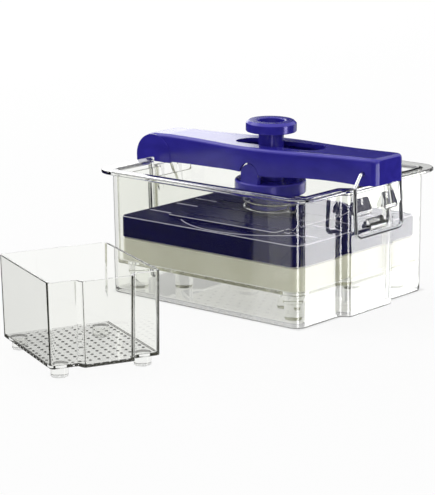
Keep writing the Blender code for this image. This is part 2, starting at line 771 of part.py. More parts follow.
def pressure_shoe():
    """The domed foot at the stem's end, whose sole is centred on the ear pivot."""
    pocket = SCREW_HEAD_RADIUS + RUN_GAP
    sole = [SHOE_RADIUS + (pocket - SHOE_RADIUS) * i / 3 for i in range(4)]
    return turned("pressure_shoe", [
        (SCREW_SHANK_RADIUS + SEAT_GAP, SHOE_TOP), (SHOE_RADIUS, SHOE_TOP),
        *[(radius, dome_height(radius)) for radius in sole],
        (pocket, SHOE_SEAT), (SCREW_SHANK_RADIUS + SEAT_GAP, SHOE_SEAT),
        (SCREW_SHANK_RADIUS + SEAT_GAP, SHOE_TOP),
    ], sides=24)


def shoe_screw():
    return screw_piece("shoe_screw", SHOE_SEAT - SEAT_GAP, FOOT_SCREW_LENGTH, -1)


def spring_washer():
    rim = SPRING_OUTER + WASHER_BRIM
    return turned("spring_washer", [
        (CUP_BORE, WASHER_TOP), (rim, WASHER_TOP), (rim, WASHER_UNDER),
        (CUP_BORE, WASHER_UNDER), (CUP_BORE, WASHER_TOP),
    ], sides=24)


def coil_spring():
    """A round-wire spring under the cup, one unbroken tube."""
    radius = SPRING_OUTER - SPRING_WIRE / 2
    top = WASHER_UNDER - SEAT_GAP - SPRING_WIRE / 2
    foot = -DOME_RADIUS + SPRING_FOOT_GAP + SPRING_WIRE / 2
    count = round((top - foot) / SPRING_PITCH * SPRING_POINTS_PER_TURN)
    points = []
    for i in range(count + 1):
        turn = i / SPRING_POINTS_PER_TURN
        angle = 2 * pi * turn
        points.append((radius * cos(angle), radius * sin(angle), top - SPRING_PITCH * turn))
    gap = min((Vector(a) - Vector(b)).length - SPRING_WIRE
              for i, a in enumerate(points) for b in points[i + SPRING_POINTS_PER_TURN // 2:])
    print(f"coil_spring least gap to itself {gap * 1000:.2f} mm")
    return wire("coil_spring", points, SPRING_WIRE / 2, resolution=1)


# Lever and latch

def lever_ring(x, half, under, top, rounding):
    """One closed cross-section of the lever, with rounded shoulders."""
    flat = [(-half, under)]
    flat += arc(-half + rounding, top - rounding, rounding, 180, 90, steps=3)
    flat += arc(half - rounding, top - rounding, rounding, 90, 0, steps=3)
    flat.append((half, under))
    return [(x, y, z) for y, z in flat]


def between(low, high, share):
    return low + (high - low) * share


def lever_run():
    """(x, half width, underside, top) of the lever between its cheek and its end."""
    run = []
    for place, wide, clear, rise in LEVER_SHARES:
        span = PRESS_X - CHEEK_X if place < 0 else LEVER_RIGHT_X - PRESS_X
        run.append((PRESS_X + place * span,
                    between(LEVER_END_HALF, LEVER_WIDE_HALF, wide),
                    between(LEVER_LOW_UNDER, LEVER_END_UNDER, clear),
                    between(LEVER_HEEL_TOP, LEVER_END_TOP, rise)))
    return run


def lever_stations(inset=0.0, top_inset=0.0):
    """The lever's cross-sections from heel to end, moved in by a wall."""
    stations = []
    run = lever_run()
    radius = CHEEK_RADIUS + LEVER_ROUND / 4
    steps = 6
    for i in range(steps + 1):
        angle = radians(178 - (178 - 90) * i / steps)
        x = CHEEK_X + (radius - inset) * cos(angle)
        top = CHEEK_Z + (radius - top_inset) * sin(angle)
        share = (x - LEVER_LEFT_X) / (run[0][0] - LEVER_LEFT_X)
        half = between(LEVER_HEEL_HALF, run[0][1], share)
        under = between(LEVER_HEEL_UNDER, run[0][2], share)
        stations.append((x, half - inset, under, top))
    for x, half, under, top in run:
        stations.append((x, half - inset, under, top - top_inset))
    end = LEVER_RIGHT_X - inset
    for i in range(4):
        angle = radians(90 * i / 3)
        x = end - LEVER_END_CORNER + LEVER_END_CORNER * sin(angle)
        half = LEVER_END_HALF - inset - LEVER_END_CORNER * (1 - cos(angle))
        drop = LEVER_END_CORNER / 3 * (1 - cos(angle))
        stations.append((x, half, LEVER_END_UNDER, LEVER_END_TOP - top_inset - drop))
    return stations


def lever():
    body = loft("lever", [
        lever_ring(x, half, under, top, min(LEVER_ROUND, (top - under) / 3))
        for x, half, under, top in lever_stations()])
    hollow_rings = []
    for x, half, under, top in lever_stations(LEVER_WALL, LEVER_TOP_WALL):
        low = under - OVERRUN
        hollow_rings.append(lever_ring(x, half, low, top, LEVER_ROUND / 4))
    cut(body, loft("lever_hollow", hollow_rings))
    floor = LEVER_HEEL_UNDER + LEVER_WALL / 2
    sweep = degrees(asin((CHEEK_Z - floor) / CHEEK_RADIUS))
    cheek = arc(CHEEK_X, CHEEK_Z, CHEEK_RADIUS, -sweep, 180 + sweep, steps=20)
    for side in (-1, 1):
        inner = LEVER_HEEL_HALF - LEVER_WALL / 2
        outer = LEVER_HEEL_HALF + CHEEK_RISE
        low = inner if side > 0 else -outer
        cut(body, upright_plate("cheek", cheek, low, low + outer - inner), "UNION")
    add_ear_bosses(body)
    cut_slot(body)
    cut_ear_notches(body)
    half = LEVER_HEEL_HALF - LEVER_WALL
    cut(body, block("end_notch", (LEVER_LEFT_X - OVERRUN, -half, LEVER_HEEL_UNDER - OVERRUN),
                    (CHEEK_X - CHEEK_RADIUS / 2, half, HINGE_Z + END_NOTCH_RISE)))
    reach = LEVER_HEEL_HALF - LEVER_WALL / 4
    cut(body, rod("pin_socket", HINGE_PIN_RADIUS + SEAT_GAP, (HINGE_X, -reach, HINGE_Z),
                  (HINGE_X, reach, HINGE_Z)))
    bail_reach = LEVER_END_HALF + OVERRUN
    cut(body, rod("bail_bore", BAIL_WIRE + BAIL_HOLE_GAP, (BAIL_X, -bail_reach, BAIL_Z),
                  (BAIL_X, bail_reach, BAIL_Z)))
    return body


def add_ear_bosses(body):
    """Hanging bosses inside the lever that hold the two ear pins."""
    roof = between(LEVER_HEEL_TOP, LEVER_END_TOP, PRESS_TOP_SHARE) - LEVER_TOP_WALL / 2
    profile = arc(PRESS_X, PIVOT_Z, EAR_BOSS_RADIUS, 180, 360, steps=6)
    profile += [(PRESS_X + EAR_BOSS_RADIUS, roof), (PRESS_X - EAR_BOSS_RADIUS, roof)]
    for side in (-1, 1):
        low = EAR_PIN_INNER if side > 0 else -EAR_BOSS_OUTER
        width = EAR_BOSS_OUTER - EAR_PIN_INNER
        cut(body, upright_plate("ear_boss", profile, low, low + width), "UNION")
        cut(body, rod("boss_bore", EAR_PIN_RADIUS + SEAT_GAP,
                      (PRESS_X, side * (EAR_PIN_INNER - OVERRUN), PIVOT_Z),
                      (PRESS_X, side * (EAR_OUTER + SEAT_GAP), PIVOT_Z)))


def cut_slot(body):
    """The long round-ended slot that the stem comes up through."""
    left = PRESS_X - SLOT_BEHIND + SLOT_HALF
    right = PRESS_X + SLOT_AHEAD - SLOT_HALF
    flat = arc(right, 0, SLOT_HALF, -90, 90, steps=8) + arc(left, 0, SLOT_HALF, 90, 270, steps=8)
    low, high = PIVOT_Z, LEVER_END_TOP + OVERRUN
    cut(body, loft("slot", [[(x, y, z) for x, y in flat] for z in (low, high)]))


def cut_ear_notches(body):
    """Arched notches in both skirts, in which the cup's ears stand."""
    radius = EAR_RADIUS + EAR_NOTCH_GAP
    low = PIVOT_Z - EAR_RADIUS - OVERRUN
    profile = arc(PRESS_X, PIVOT_Z, radius, 0, 180, steps=10)
    profile += [(PRESS_X - radius, low), (PRESS_X + radius, low)]
    inner = EAR_OUTER - EAR_THICK - SEAT_GAP
    outer = EAR_OUTER + OVERRUN
    for side in (-1, 1):
        near = inner if side > 0 else -outer
        cut(body, upright_plate("ear_notch", profile, near, near + outer - inner))


def latch_bail():
    """The wire bail, bent up in one piece, with its ends turned into the lever."""
    cross_x = BUMP_FACE_X - inward(LOW_CATCH_FLOOR) + CATCH_REACH + BAIL_WIRE + BAIL_REST_GAP
    cross_z = LOW_CATCH_FLOOR - BAIL_WIRE - BAIL_HOLE_GAP
    shoulder_z = BAIL_Z - BAIL_SHOULDER_DROP
    lean = (cross_x - BAIL_X) / (BAIL_Z - cross_z)
    shoulder_x = BAIL_X + lean * BAIL_SHOULDER_DROP
    elbow = LEVER_END_HALF + BAIL_WIRE + BAIL_HOLE_GAP
    half = [
        (BAIL_X, BAIL_END_Y, BAIL_Z), (BAIL_X, elbow, BAIL_Z),
        (shoulder_x, BAIL_HALF, shoulder_z), (cross_x, BAIL_HALF, cross_z),
    ]
    path = [(x, -y, z) for x, y, z in half] + list(reversed(half))
    return wire("latch_bail", rounded_chain(path, BAIL_BEND), BAIL_WIRE, resolution=2)


# Small basket

def small_ring(offset, height):
    taper = SMALL_DRAFT * (SMALL_TOP - height) / (SMALL_TOP - SMALL_UNDER)
    inset = taper + offset
    flat = outline(SMALL_LENGTH / 2 - inset, SMALL_WIDTH / 2 - inset,
                   max(SMALL_CORNER - inset, SMALL_WALL), SMALL_BUMP_DEPTH,
                   SMALL_BUMP_HALF - inset, SMALL_BUMP_BLEND, 0)
    return [(x, y, height) for x, y in flat]


def small_basket():
    floor = SMALL_UNDER + SMALL_FLOOR
    basket = loft("small_basket", [
        small_ring(0, SMALL_UNDER), small_ring(0, SMALL_TOP),
        small_ring(SMALL_WALL, SMALL_TOP), small_ring(SMALL_WALL, floor),
    ])
    foot_x = SMALL_LENGTH / 2 - SMALL_FOOT_INSET
    foot_y = SMALL_WIDTH / 2 - SMALL_FOOT_INSET
    feet = [(sx * foot_x, sy * foot_y) for sx in (-1, 1) for sy in (-1, 1)]
    for x, y in feet:
        cut(basket, rod("small_foot", SMALL_FOOT_RADIUS, (x, y, 0),
                        (x, y, SMALL_UNDER + SMALL_FLOOR / 2), 14), "UNION")
    inside = SMALL_WALL + SMALL_DRAFT
    places = hole_grid(SMALL_LENGTH - 2 * inside, SMALL_WIDTH - 2 * inside,
                       SMALL_HOLE_PITCH, SMALL_HOLE_MARGIN)
    avoid = [(x, y, SMALL_FOOT_RADIUS + SMALL_HOLE_RADIUS) for x, y in feet]
    cut(basket, hole_cutter(places, SMALL_HOLE_RADIUS, SMALL_UNDER - OVERRUN,
                            floor + OVERRUN, avoid))
    return basket


def main():
    clear_scene()
    parts = new_collection("tofu_press")
    clear = material("clear_plastic", (0.92, 0.94, 0.92), 0.05, clear=1.0)
    blue = material("blue_plastic", (0.055, 0.045, 0.32), 0.35)
    plate_blue = material("plate_blue", (0.03, 0.027, 0.13), 0.4)
    chrome = material("chrome_steel", (0.75, 0.76, 0.78), 0.15, metallic=1.0)
    curd = material("soy_curd", (0.78, 0.77, 0.66), 0.7)

    for piece in (outer_tub(), pressing_basket()):
        finish(piece, parts, clear)
    finish(tofu_block(), parts, curd)
    finish(press_plate(), parts, plate_blue)
    finish(hinge_pin(), parts, chrome)
    finish(hinge_clip("hinge_clip_near", -1), parts, chrome)
    finish(hinge_clip("hinge_clip_far", 1), parts, chrome)
    finish(lever(), parts, blue)
    finish(latch_bail(), parts, chrome)

    stack = bpy.data.objects.new("press_stack", None)
    parts.objects.link(stack)
    stack.location = (PRESS_X, 0, PIVOT_Z)
    stack.rotation_euler = (0, PRESS_TILT, 0)
    for piece in (presser_cup(), knob_stem(), knob(), pressure_shoe()):
        finish(piece, parts, blue, stack)
    for piece in (presser_pin("presser_pin_near", -1), presser_pin("presser_pin_far", 1),
                  knob_screw(), shoe_screw(), spring_washer(), coil_spring()):
        finish(piece, parts, chrome, stack)

    stand = bpy.data.objects.new("small_basket_stand", None)
    parts.objects.link(stand)
    stand.location = (SMALL_CENTRE_X, SMALL_CENTRE_Y, 0)
    stand.rotation_euler = (0, 0, SMALL_YAW)
    finish(small_basket(), parts, clear, stand)


main()
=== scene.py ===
"""Finished surfaces, materials, light and camera for the clear tofu press with its blue lever.

Lengths are metres in the part's own frame. Shapes are numpy surfaces: profiles carried round an
outline or along a path, or turned about an axis.
"""
from math import cos, pi, radians, sin

import bmesh
import bpy
import numpy as np
from mathutils import Matrix, Vector


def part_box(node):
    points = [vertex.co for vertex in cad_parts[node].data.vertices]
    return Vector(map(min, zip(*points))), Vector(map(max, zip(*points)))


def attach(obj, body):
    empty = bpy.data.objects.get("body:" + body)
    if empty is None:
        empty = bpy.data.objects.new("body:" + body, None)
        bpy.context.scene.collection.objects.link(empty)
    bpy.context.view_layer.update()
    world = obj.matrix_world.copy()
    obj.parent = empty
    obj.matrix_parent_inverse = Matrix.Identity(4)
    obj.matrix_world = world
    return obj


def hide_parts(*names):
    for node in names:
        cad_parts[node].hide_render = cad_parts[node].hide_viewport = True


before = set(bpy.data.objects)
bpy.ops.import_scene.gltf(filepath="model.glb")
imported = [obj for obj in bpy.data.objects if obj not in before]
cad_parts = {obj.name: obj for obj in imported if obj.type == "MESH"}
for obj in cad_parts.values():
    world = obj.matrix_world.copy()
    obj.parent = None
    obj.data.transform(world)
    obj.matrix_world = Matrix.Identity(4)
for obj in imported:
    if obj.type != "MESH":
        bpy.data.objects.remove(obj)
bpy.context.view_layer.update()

# Camera, as fitted to the photograph
CAMERA_AZIMUTH = radians(41.02)
CAMERA_ELEVATION = radians(13.04)
CAMERA_ROLL = radians(-0.65)
CAMERA_DISTANCE, CAMERA_NEAR = 1.3785, 0.05
CAMERA_TARGET = Vector((-0.04319, 0, 0.02266))
CAMERA_LENS, CAMERA_SENSOR = 150.39, 36

# Sizes shared with the solids: tub and basket
GAP = 0.0003
TUB_LENGTH, TUB_WIDTH, TUB_HEIGHT = 0.158, 0.132, 0.082
TUB_WALL, TUB_FLOOR, TUB_DRAFT = 0.0022, 0.0024, 0.0008
TUB_CORNER, FLANGE_REACH, FLANGE_THICK = 0.0075, 0.0074, 0.0022
BUMP_DEPTH, BUMP_HALF, BUMP_BLEND = 0.0062, 0.0215, 0.006
HINGE_NOTCH_HALF, HINGE_NOTCH_FLOOR = 0.0175, TUB_HEIGHT - 0.0055
LUG_INNER, LUG_OUTER, LUG_RADIUS, LUG_DROP = 0.0065, 0.0110, 0.0055, 0.0235
CATCH_REACH, CATCH_NOSE, CATCH_LIP = 0.0035, 0.0030, 0.0008
CATCHES = (("low_catch", -0.0060, 0.0100, 0.0531, 0.0074),
           ("high_catch", -0.0200, -0.0050, 0.0642, 0.0108),
           ("high_catch", 0.0090, 0.0215, 0.0642, 0.0108))
BASKET_WALL, BASKET_FLOOR, BASKET_SIDE_GAP = 0.0016, 0.0018, 0.0007
BASKET_TOP, BASKET_UNDER, BASKET_NOTCH, BASKET_NOTCH_END = 0.0775, 0.0196, 0.0085, 0.0085
FOOT_UNDER, FOOT_RADIUS, FOOT_STEP_RADIUS, FOOT_STEP = 0.0027, 0.0058, 0.0067, 0.0065
FOOT_PLACES = ((0.0645, 0.0520), (0.0430, 0.0330))

# Plate
PLATEAU_LENGTH, PLATEAU_WIDTH, PLATEAU_RISE = 0.090, 0.091, 0.0022
RIB_RISE, RIB_WIDTH, RIB_END = 0.0007, 0.0018, 0.005
RIB_SHARES = (-0.78, -0.21, 0.21, 0.78)

# Presser, spring, shoe and knob; heights are from the pivot
PRESS_TILT = radians(1.5)
EAR_RADIUS, EAR_THICK, EAR_OUTER = 0.0070, 0.0030, 0.0216
EAR_PIN_RADIUS, EAR_PIN_COVER = 0.0022, 0.0010
EAR_BOSS_OUTER, EAR_BOSS_INNER, EAR_BOSS_RADIUS = 0.0183, 0.0140, 0.0042
CUP_RADIUS, CUP_TOP, CUP_UNDER, CUP_BORE = 0.0232, -0.0055, -0.0140, 0.0087
SPRING_WIRE, SPRING_OUTER, SPRING_PITCH, SPRING_TURNS = 0.0018, 0.0164, 0.0046, 2.02
WASHER_TOP, WASHER_UNDER, WASHER_RADIUS = -0.0143, -0.0149, 0.0172
KNOB_RADIUS, KNOB_UNDER, KNOB_TOP, KNOB_RECESS = 0.0164, 0.0258, 0.0329, 0.0036
STEM_RADIUS, STEM_TOP, STEM_BORE = 0.0082, 0.0255, 0.0021
HEAD_RADIUS, HEAD_HEIGHT, SHANK_RADIUS = 0.0032, 0.0014, 0.0018
KNOB_SCREW_LENGTH, SHOE_SCREW_LENGTH = 0.0150, 0.0110
DOME_RADIUS, SHOE_TOP, SHOE_RADIUS, SHOE_POCKET = 0.0270, -0.0184, 0.0122, 0.0037
SHOE_SEAT = (SHOE_TOP - DOME_RADIUS) / 2

# Lever, with its bail and hinge
LEVER_WALL, LEVER_TOP_WALL, LEVER_ROUND, LEVER_CORNER = 0.0023, 0.0026, 0.0026, 0.0045
LEVER_END_X, LEVER_END_HALF, LEVER_WIDE_HALF, LEVER_HEEL_HALF = 0.0985, 0.0150, 0.0225, 0.0140
LEVER_UNDERS, LEVER_TOPS, LEVER_HEEL_UNDER = (0.0796, 0.0836), (0.0980, 0.1004), 0.0776
CHEEK, CHEEK_RADIUS, CHEEK_RISE = (-0.0863, 0.0818), 0.0150, 0.0008
# Lever sections: a share of the way from the pivot to the cheek's centre or the end, then shares
# between the least and the most half width, under side and top
LEVER_SHARES = (
    (-0.873, -0.09, 0.00, 0.00), (-0.594, 0.13, 0.25, 0.04), (-0.370, 0.47, 0.45, 0.08),
    (-0.168, 0.85, 0.65, 0.17), (0.000, 1.00, 0.55, 0.25), (0.157, 0.91, 0.40, 0.33),
    (0.346, 0.61, 0.75, 0.42), (0.597, 0.23, 0.95, 0.63), (0.785, 0.08, 0.90, 0.83),
    (0.911, 0.04, 0.80, 0.96))
SLOT_BEHIND, SLOT_AHEAD, SLOT_CLEARANCE = 0.026, 0.043, 0.0018
EAR_NOTCH_CLEARANCE, BAIL_CLEARANCE = 0.0009, 0.0004
HEEL_BACK, HEEL_NOTCH_RISE = -0.1021, 0.0045
HINGE_PIN_RADIUS = 0.002
CLIP_RIM, CLIP_THICK, CLIP_LIP = 0.0042, 0.0008, 0.0010
BAIL_WIRE, BAIL_SHOULDER_DROP = 0.00125, 0.0079
BAIL_END_Y, BAIL_NECK_Y, BAIL_HALF, BAIL_BEND, BAIL_CORNER = 0.0105, 0.01665, 0.0235, 0.0015, 0.0042
HINGE = Vector((-0.0895, 0, 0.0815))
PIVOT = Vector((0.003, 0, 0.0807))
BAIL_PIVOT = Vector((0.0886, 0, 0.0904))

# Small basket
SMALL_CENTRE, SMALL_YAW = Vector((0.0137, -0.1882, 0)), radians(-24)
SMALL_LENGTH, SMALL_WIDTH, SMALL_TOP, SMALL_UNDER = 0.0820, 0.0686, 0.0567, 0.0064
SMALL_WALL, SMALL_FLOOR, SMALL_DRAFT, SMALL_CORNER = 0.0015, 0.0015, 0.0008, 0.0032
SMALL_BUMP, SMALL_BUMP_HALF, SMALL_BUMP_BLEND = 0.0050, 0.0156, 0.0030
SMALL_FOOT_INSET, SMALL_FOOT_RADIUS = 0.0088, 0.0050

# Sizes of the finished surfaces alone
CUT = 0.004  # how far a tool passes the surface that it cuts
NARROW_CAP, CAP, WIDE_CAP = 0.004, 0.006, 0.008  # insets where a flat face closes a profile
LEAST_CORNER = 0.0015
TUB_FILLETS = (0, 0.0012, 0.0008, 0.0007, 0.0007, 0.0006, 0.0016, 0)
BASKET_FILLETS = (0, 0.0007, 0.0005, 0.0005, 0.0010, 0)
SMALL_FILLETS = (0, 0.0006, 0.0005, 0.0005, 0.0010, 0)
HINGE_NOTCH_ROUND, BASKET_NOTCH_ROUND, CATCH_ROUND = 0.0012, 0.002, 0.0006
HOLE_RADIUS, HOLE_PITCH, HOLE_MARGINS, HOLE_TO_FOOT = 0.0011, 0.0085, (0.014, 0.013), 0.0015
SMALL_HOLE_RADIUS, SMALL_HOLE_TO_FOOT = 0.0010, 0.0062
SMALL_HOLES = ((14, 0.0054), (12, 0.0053))  # number and pitch each way
CURD_CORNER, PLATE_CORNER, PLATEAU_CORNER = 0.006, 0.005, 0.003
CURD_EDGE, PLATE_EDGE, PLATEAU_EDGE, RIB_ROUND = 0.0010, 0.0006, 0.0005, 0.0005
GROOVE_HALF, GROOVE_DEPTH = 0.0009, 0.0005
RING_CENTRE, RING_RADIUS, RING_SPAN, RING_WIRE = (0.006, 0.005), 0.0635, (228, 318), 0.0004
RECESS_FOOT, RECESS_WALL, RECESS_LIP, RECESS_EDGE = 0.0086, 0.0088, 0.0094, 0.0006
KNOB_CHAMFER, HEAD_ROUND, BAR_EDGE, FOOT_EDGE = 0.0017, 0.0008, 0.0003, 0.0004
CUP_ROUND, KNOB_ROUND, STEM_ROUND = 0.0013, 0.0006, 0.0004
SHOE_ROUND, SCREW_ROUND, WASHER_ROUND = 0.0003, 0.0003, 0.0001
PLATE_BEVEL, CUP_BEVEL, LEVER_BEVEL = 0.00035, 0.0005, 0.0004
DRUM_SIDES, TURNED_SIDES, SCREW_SIDES, BAR_SIDES = 128, 96, 48, 40
SHARP_ANGLE, BEVEL_ANGLE = radians(40), radians(50)


# Meshes from arrays

def add_object(name, data):
    made = bpy.data.objects.new(name, data)
    bpy.context.scene.collection.objects.link(made)
    return made


def mesh_piece(name, verts, faces):
    """A mesh object at the origin from vertex and face arrays."""
    mesh = bpy.data.meshes.new(name)
    mesh.from_pydata(np.asarray(verts, float).tolist(), [], [list(map(int, f)) for f in faces])
    mesh.update()
    return add_object(name, mesh)


def grid_faces(rows, columns, wrap_rows=False, wrap_columns=True):
    """Quads of a rows by columns grid of points, either way closed on itself."""
    i = np.arange(rows if wrap_rows else rows - 1)[:, None]
    j = np.arange(columns if wrap_columns else columns - 1)[None, :]
    i2, j2 = (i + 1) % rows, (j + 1) % columns
    quads = np.stack([i * columns + j, i * columns + j2, i2 * columns + j2, i2 * columns + j], -1)
    return quads.reshape(-1, 4)


def skin(name, points, wrap_rows=False):
    """A closed surface through rings of points: the last meets the first, or both are capped.

    Its faces are turned so that they point out.
    """
    rows, columns = points.shape[:2]
    faces = grid_faces(rows, columns, wrap_rows).tolist()
    if not wrap_rows:
        faces.append(list(range(columns - 1, -1, -1)))
        faces.append([(rows - 1) * columns + k for k in range(columns)])
    made = mesh_piece(name, points.reshape(-1, 3), faces)
    work = bmesh.new()
    work.from_mesh(made.data)
    bmesh.ops.remove_doubles(work, verts=work.verts, dist=1e-6)
    bmesh.ops.recalc_face_normals(work, faces=work.faces)
    work.to_mesh(made.data)
    work.free()
    return made


def rounded(points, radius, steps, closed=False):
    """A polyline in a plane whose corners are replaced by arcs of the radius.

    With half the angle at a corner, the arc's centre lies on the angle's middle line, the radius
    over the sine of that half away, and its ends are where it touches both sides. Without room
    for it, a corner takes the radius whose arc uses 0.45 of the shorter side.
    """
    points = [np.asarray(p, float) for p in points]
    count = len(points)
    radii = np.broadcast_to(radius, count)
    out = []
    for i in range(count):
        if not closed and i in (0, count - 1):
            out.append(points[i])
            continue
        corner = points[i]
        back, ahead = points[i - 1] - corner, points[(i + 1) % count] - corner
        back_length, ahead_length = np.linalg.norm(back), np.linalg.norm(ahead)
        back, ahead = back / back_length, ahead / ahead_length
        half = np.arccos(np.clip(back @ ahead, -1, 1)) / 2
        reach = min(radii[i] / np.tan(half), 0.45 * back_length, 0.45 * ahead_length)
        size = reach * np.tan(half)
        if size < 1e-7 or half > pi / 2 - 0.01:
            out.append(corner)
            continue
        middle = (back + ahead) / np.linalg.norm(back + ahead)
        centre = corner + middle * size / np.sin(half)
        first, last = corner + back * reach - centre, corner + ahead * reach - centre
        swing = np.arccos(np.clip(first @ last / size ** 2, -1, 1))
        share = np.linspace(0, 1, steps + 1)[:, None]
        out.extend(centre + (first * np.sin(swing * (1 - share)) + last * np.sin(swing * share))
                   / np.sin(swing))
    return np.array(out)


def turned(name, profile, radius, sides):
    """A solid of revolution: the (r, z) profile with rounded corners, swept about Z."""
    line = rounded(profile, radius, 3)
    angle = np.linspace(0, 2 * pi, sides, endpoint=False)
    r, z = line[:, 0][:, None], line[:, 1][:, None]
    points = np.stack([r * np.cos(angle), r * np.sin(angle), z + 0 * angle], -1)
    closed = np.allclose(profile[0], profile[-1])
    return skin(name, points[:-1] if closed else points, wrap_rows=closed)


def tube(name, path, radius, reference, sides):
    """A round wire: circles of the radius square to the path, with small domed ends.

    A circle starts along the cross product of the path's direction and the reference.
    """
    path = np.asarray(path, float)
    tangent = np.gradient(path, axis=0)
    tangent /= np.linalg.norm(tangent, axis=1)[:, None]
    side = np.cross(tangent, np.asarray(reference, float))
    side /= np.linalg.norm(side, axis=1)[:, None]
    up = np.cross(side, tangent)
    angle = np.linspace(0, 2 * pi, sides, endpoint=False)[None, :, None]
    dome = np.linspace(0, pi / 2, 4)[:-1]
    rings = [(path[0] - tangent[0] * radius * np.cos(a), 0, np.sin(a)) for a in dome]
    rings += [(p, i, 1.0) for i, p in enumerate(path)]
    last = len(path) - 1
    rings += [(path[-1] + tangent[-1] * radius * np.cos(a), last, np.sin(a)) for a in dome[::-1]]
    centres = np.array([r[0] for r in rings])[:, None]
    index = np.array([r[1] for r in rings])
    scale = np.array([max(r[2], 0.05) for r in rings])[:, None, None]
    points = centres + radius * scale * (np.cos(angle) * side[index][:, None]
                                         + np.sin(angle) * up[index][:, None])
    return skin(name, points)


def prism(name, outline, low, high, axis="Y"):
    """A flat closed outline carried straight along X, Y or Z from low to high."""
    flat = np.asarray(outline, float)
    return skin(name, np.stack([np.insert(flat, "XYZ".index(axis), level, axis=1)
                                for level in (low, high)]))


def carried_round(name, profile, outline_at):
    """Each (offset, height) of a profile carried round the outline at that offset."""
    return skin(name, np.stack([np.insert(outline_at(offset), 2, height, axis=1)
                                for offset, height in profile]))


def arc(x, y, radius, start, end, steps):
    """Points on a circle from one angle to another, in degrees."""
    angle = np.radians(np.linspace(start, end, steps + 1))
    return np.stack([x + radius * np.cos(angle), y + radius * np.sin(angle)], -1)


def rectangle(left, right, low, high):
    return [(left, low), (right, low), (right, high), (left, high)]


def rod(name, radius, centre, low, high, edge=BAR_EDGE):
    """A round bar along Y, from low to high of a centre: a profile turned about Z and laid over."""
    bar = turned(name, [(0, low), (radius, low), (radius, high), (0, high)], edge, BAR_SIDES)
    return place(bar, Matrix.Translation(centre) @ Matrix.Rotation(radians(-90), 4, "X"))


def span(side, inner, outer):
    """The low and high end of a stretch from inner to outer on a side, 1 or -1."""
    return sorted((side * inner, side * outer))


def four_corners(x, y):
    return [(sx * x, sy * y) for sx in (-1, 1) for sy in (-1, 1)]


def between(ends, share):
    """The value that lies at a share of the way from the first end to the second."""
    return ends[0] + (ends[1] - ends[0]) * share


def carve(piece, *tools, operation="DIFFERENCE"):
    """Boolean a piece with tools, which are then removed."""
    for tool in tools:
        step = piece.modifiers.new("carve", "BOOLEAN")
        step.operation = operation
        step.solver = "EXACT"
        step.object = tool
        bpy.context.view_layer.update()
        graph = bpy.context.evaluated_depsgraph_get()
        result = bpy.data.meshes.new_from_object(piece.evaluated_get(graph))
        piece.modifiers.clear()
        piece.data = result
        bpy.data.objects.remove(tool, do_unlink=True)
    return piece


def join(piece, *tools):
    """Unite a piece with tools, which are then removed."""
    return carve(piece, *tools, operation="UNION")


def soften(piece, width):
    """Round a piece's hard edges a little, as a mould does."""
    step = piece.modifiers.new("edge", "BEVEL")
    step.width = width
    step.segments = 2
    step.limit_method = "ANGLE"
    step.angle_limit = BEVEL_ANGLE
    return piece


def place(piece, matrix):
    """Bake a placing into a piece's mesh."""
    piece.data.transform(matrix)
    piece.data.update()
    return piece


def dress(piece, body, node, look):
    """Give a piece its material and shading, hang it on its body, hide its CAD node."""
    piece.data.materials.clear()
    piece.data.materials.append(look)
    piece.data.shade_smooth()
    piece.data.set_sharp_from_angle(angle=SHARP_ANGLE)
    piece.modifiers.new("even_shading", "WEIGHTED_NORMAL").keep_sharp = True
    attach(piece, body)
    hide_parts(node)


# Materials

PLASTIC_IOR = 1.49
WHITE = (1, 1, 1)


def new_material(name):
    made = bpy.data.materials.new(name)
    made.use_nodes = True
    made.node_tree.nodes.clear()
    return made, made.node_tree


def add_node(tree, kind, inputs=None, **settings):
    """A new node's outputs. Each input, by name or number, is a value or the socket before it."""
    made = tree.nodes.new("ShaderNode" + kind)
    for name, value in settings.items():
        setattr(made, name, value)
    for key, value in (inputs or {}).items():
        if isinstance(value, bpy.types.NodeSocket):
            tree.links.new(value, made.inputs[key])
        else:
            made.inputs[key].default_value = value
    return made.outputs


def finished(material, surface):
    """A material with its surface shader joined to its output."""
    add_node(material.node_tree, "OutputMaterial", {"Surface": surface})
    return material


def maths(tree, operation, *values):
    """The result of a Math node; each value is a number or a socket."""
    return add_node(tree, "Math", dict(enumerate(values)), operation=operation)["Value"]


def map_range(tree, source, low, high):
    """A source from 0 to 1 carried to low to high."""
    return add_node(tree, "MapRange", {"Value": source, "To Min": low, "To Max": high})["Result"]


def mix_shaders(tree, share, first, second):
    """The first shader where the share is 0, the second where it is 1."""
    return add_node(tree, "MixShader", {"Fac": share, 1: first, 2: second})["Shader"]


def bump(tree, height, strength, distance):
    inputs = {"Height": height, "Strength": strength, "Distance": distance}
    return add_node(tree, "Bump", inputs)["Normal"]


def object_noise(tree, scale, detail, stretch=(1, 1, 1)):
    """Noise on object coordinates, stretched by a Mapping node."""
    vector = add_node(tree, "TexCoord")["Object"]
    vector = add_node(tree, "Mapping", {"Vector": vector, "Scale": stretch})["Vector"]
    return add_node(tree, "TexNoise", {"Vector": vector, "Scale": scale, "Detail": detail})["Fac"]


def two_tones(tree, source, *stops):
    """A source as a colour that runs between two stops, each a position and a colour."""
    made = tree.nodes.new("ShaderNodeValToRGB")
    for element, (position, colour) in zip(made.color_ramp.elements, stops):
        element.position = position
        element.color = (*colour, 1)
    tree.links.new(source, made.inputs["Fac"])
    return made.outputs["Color"]


def scaled(colour, factor):
    return tuple(min(1, c * factor) for c in colour)


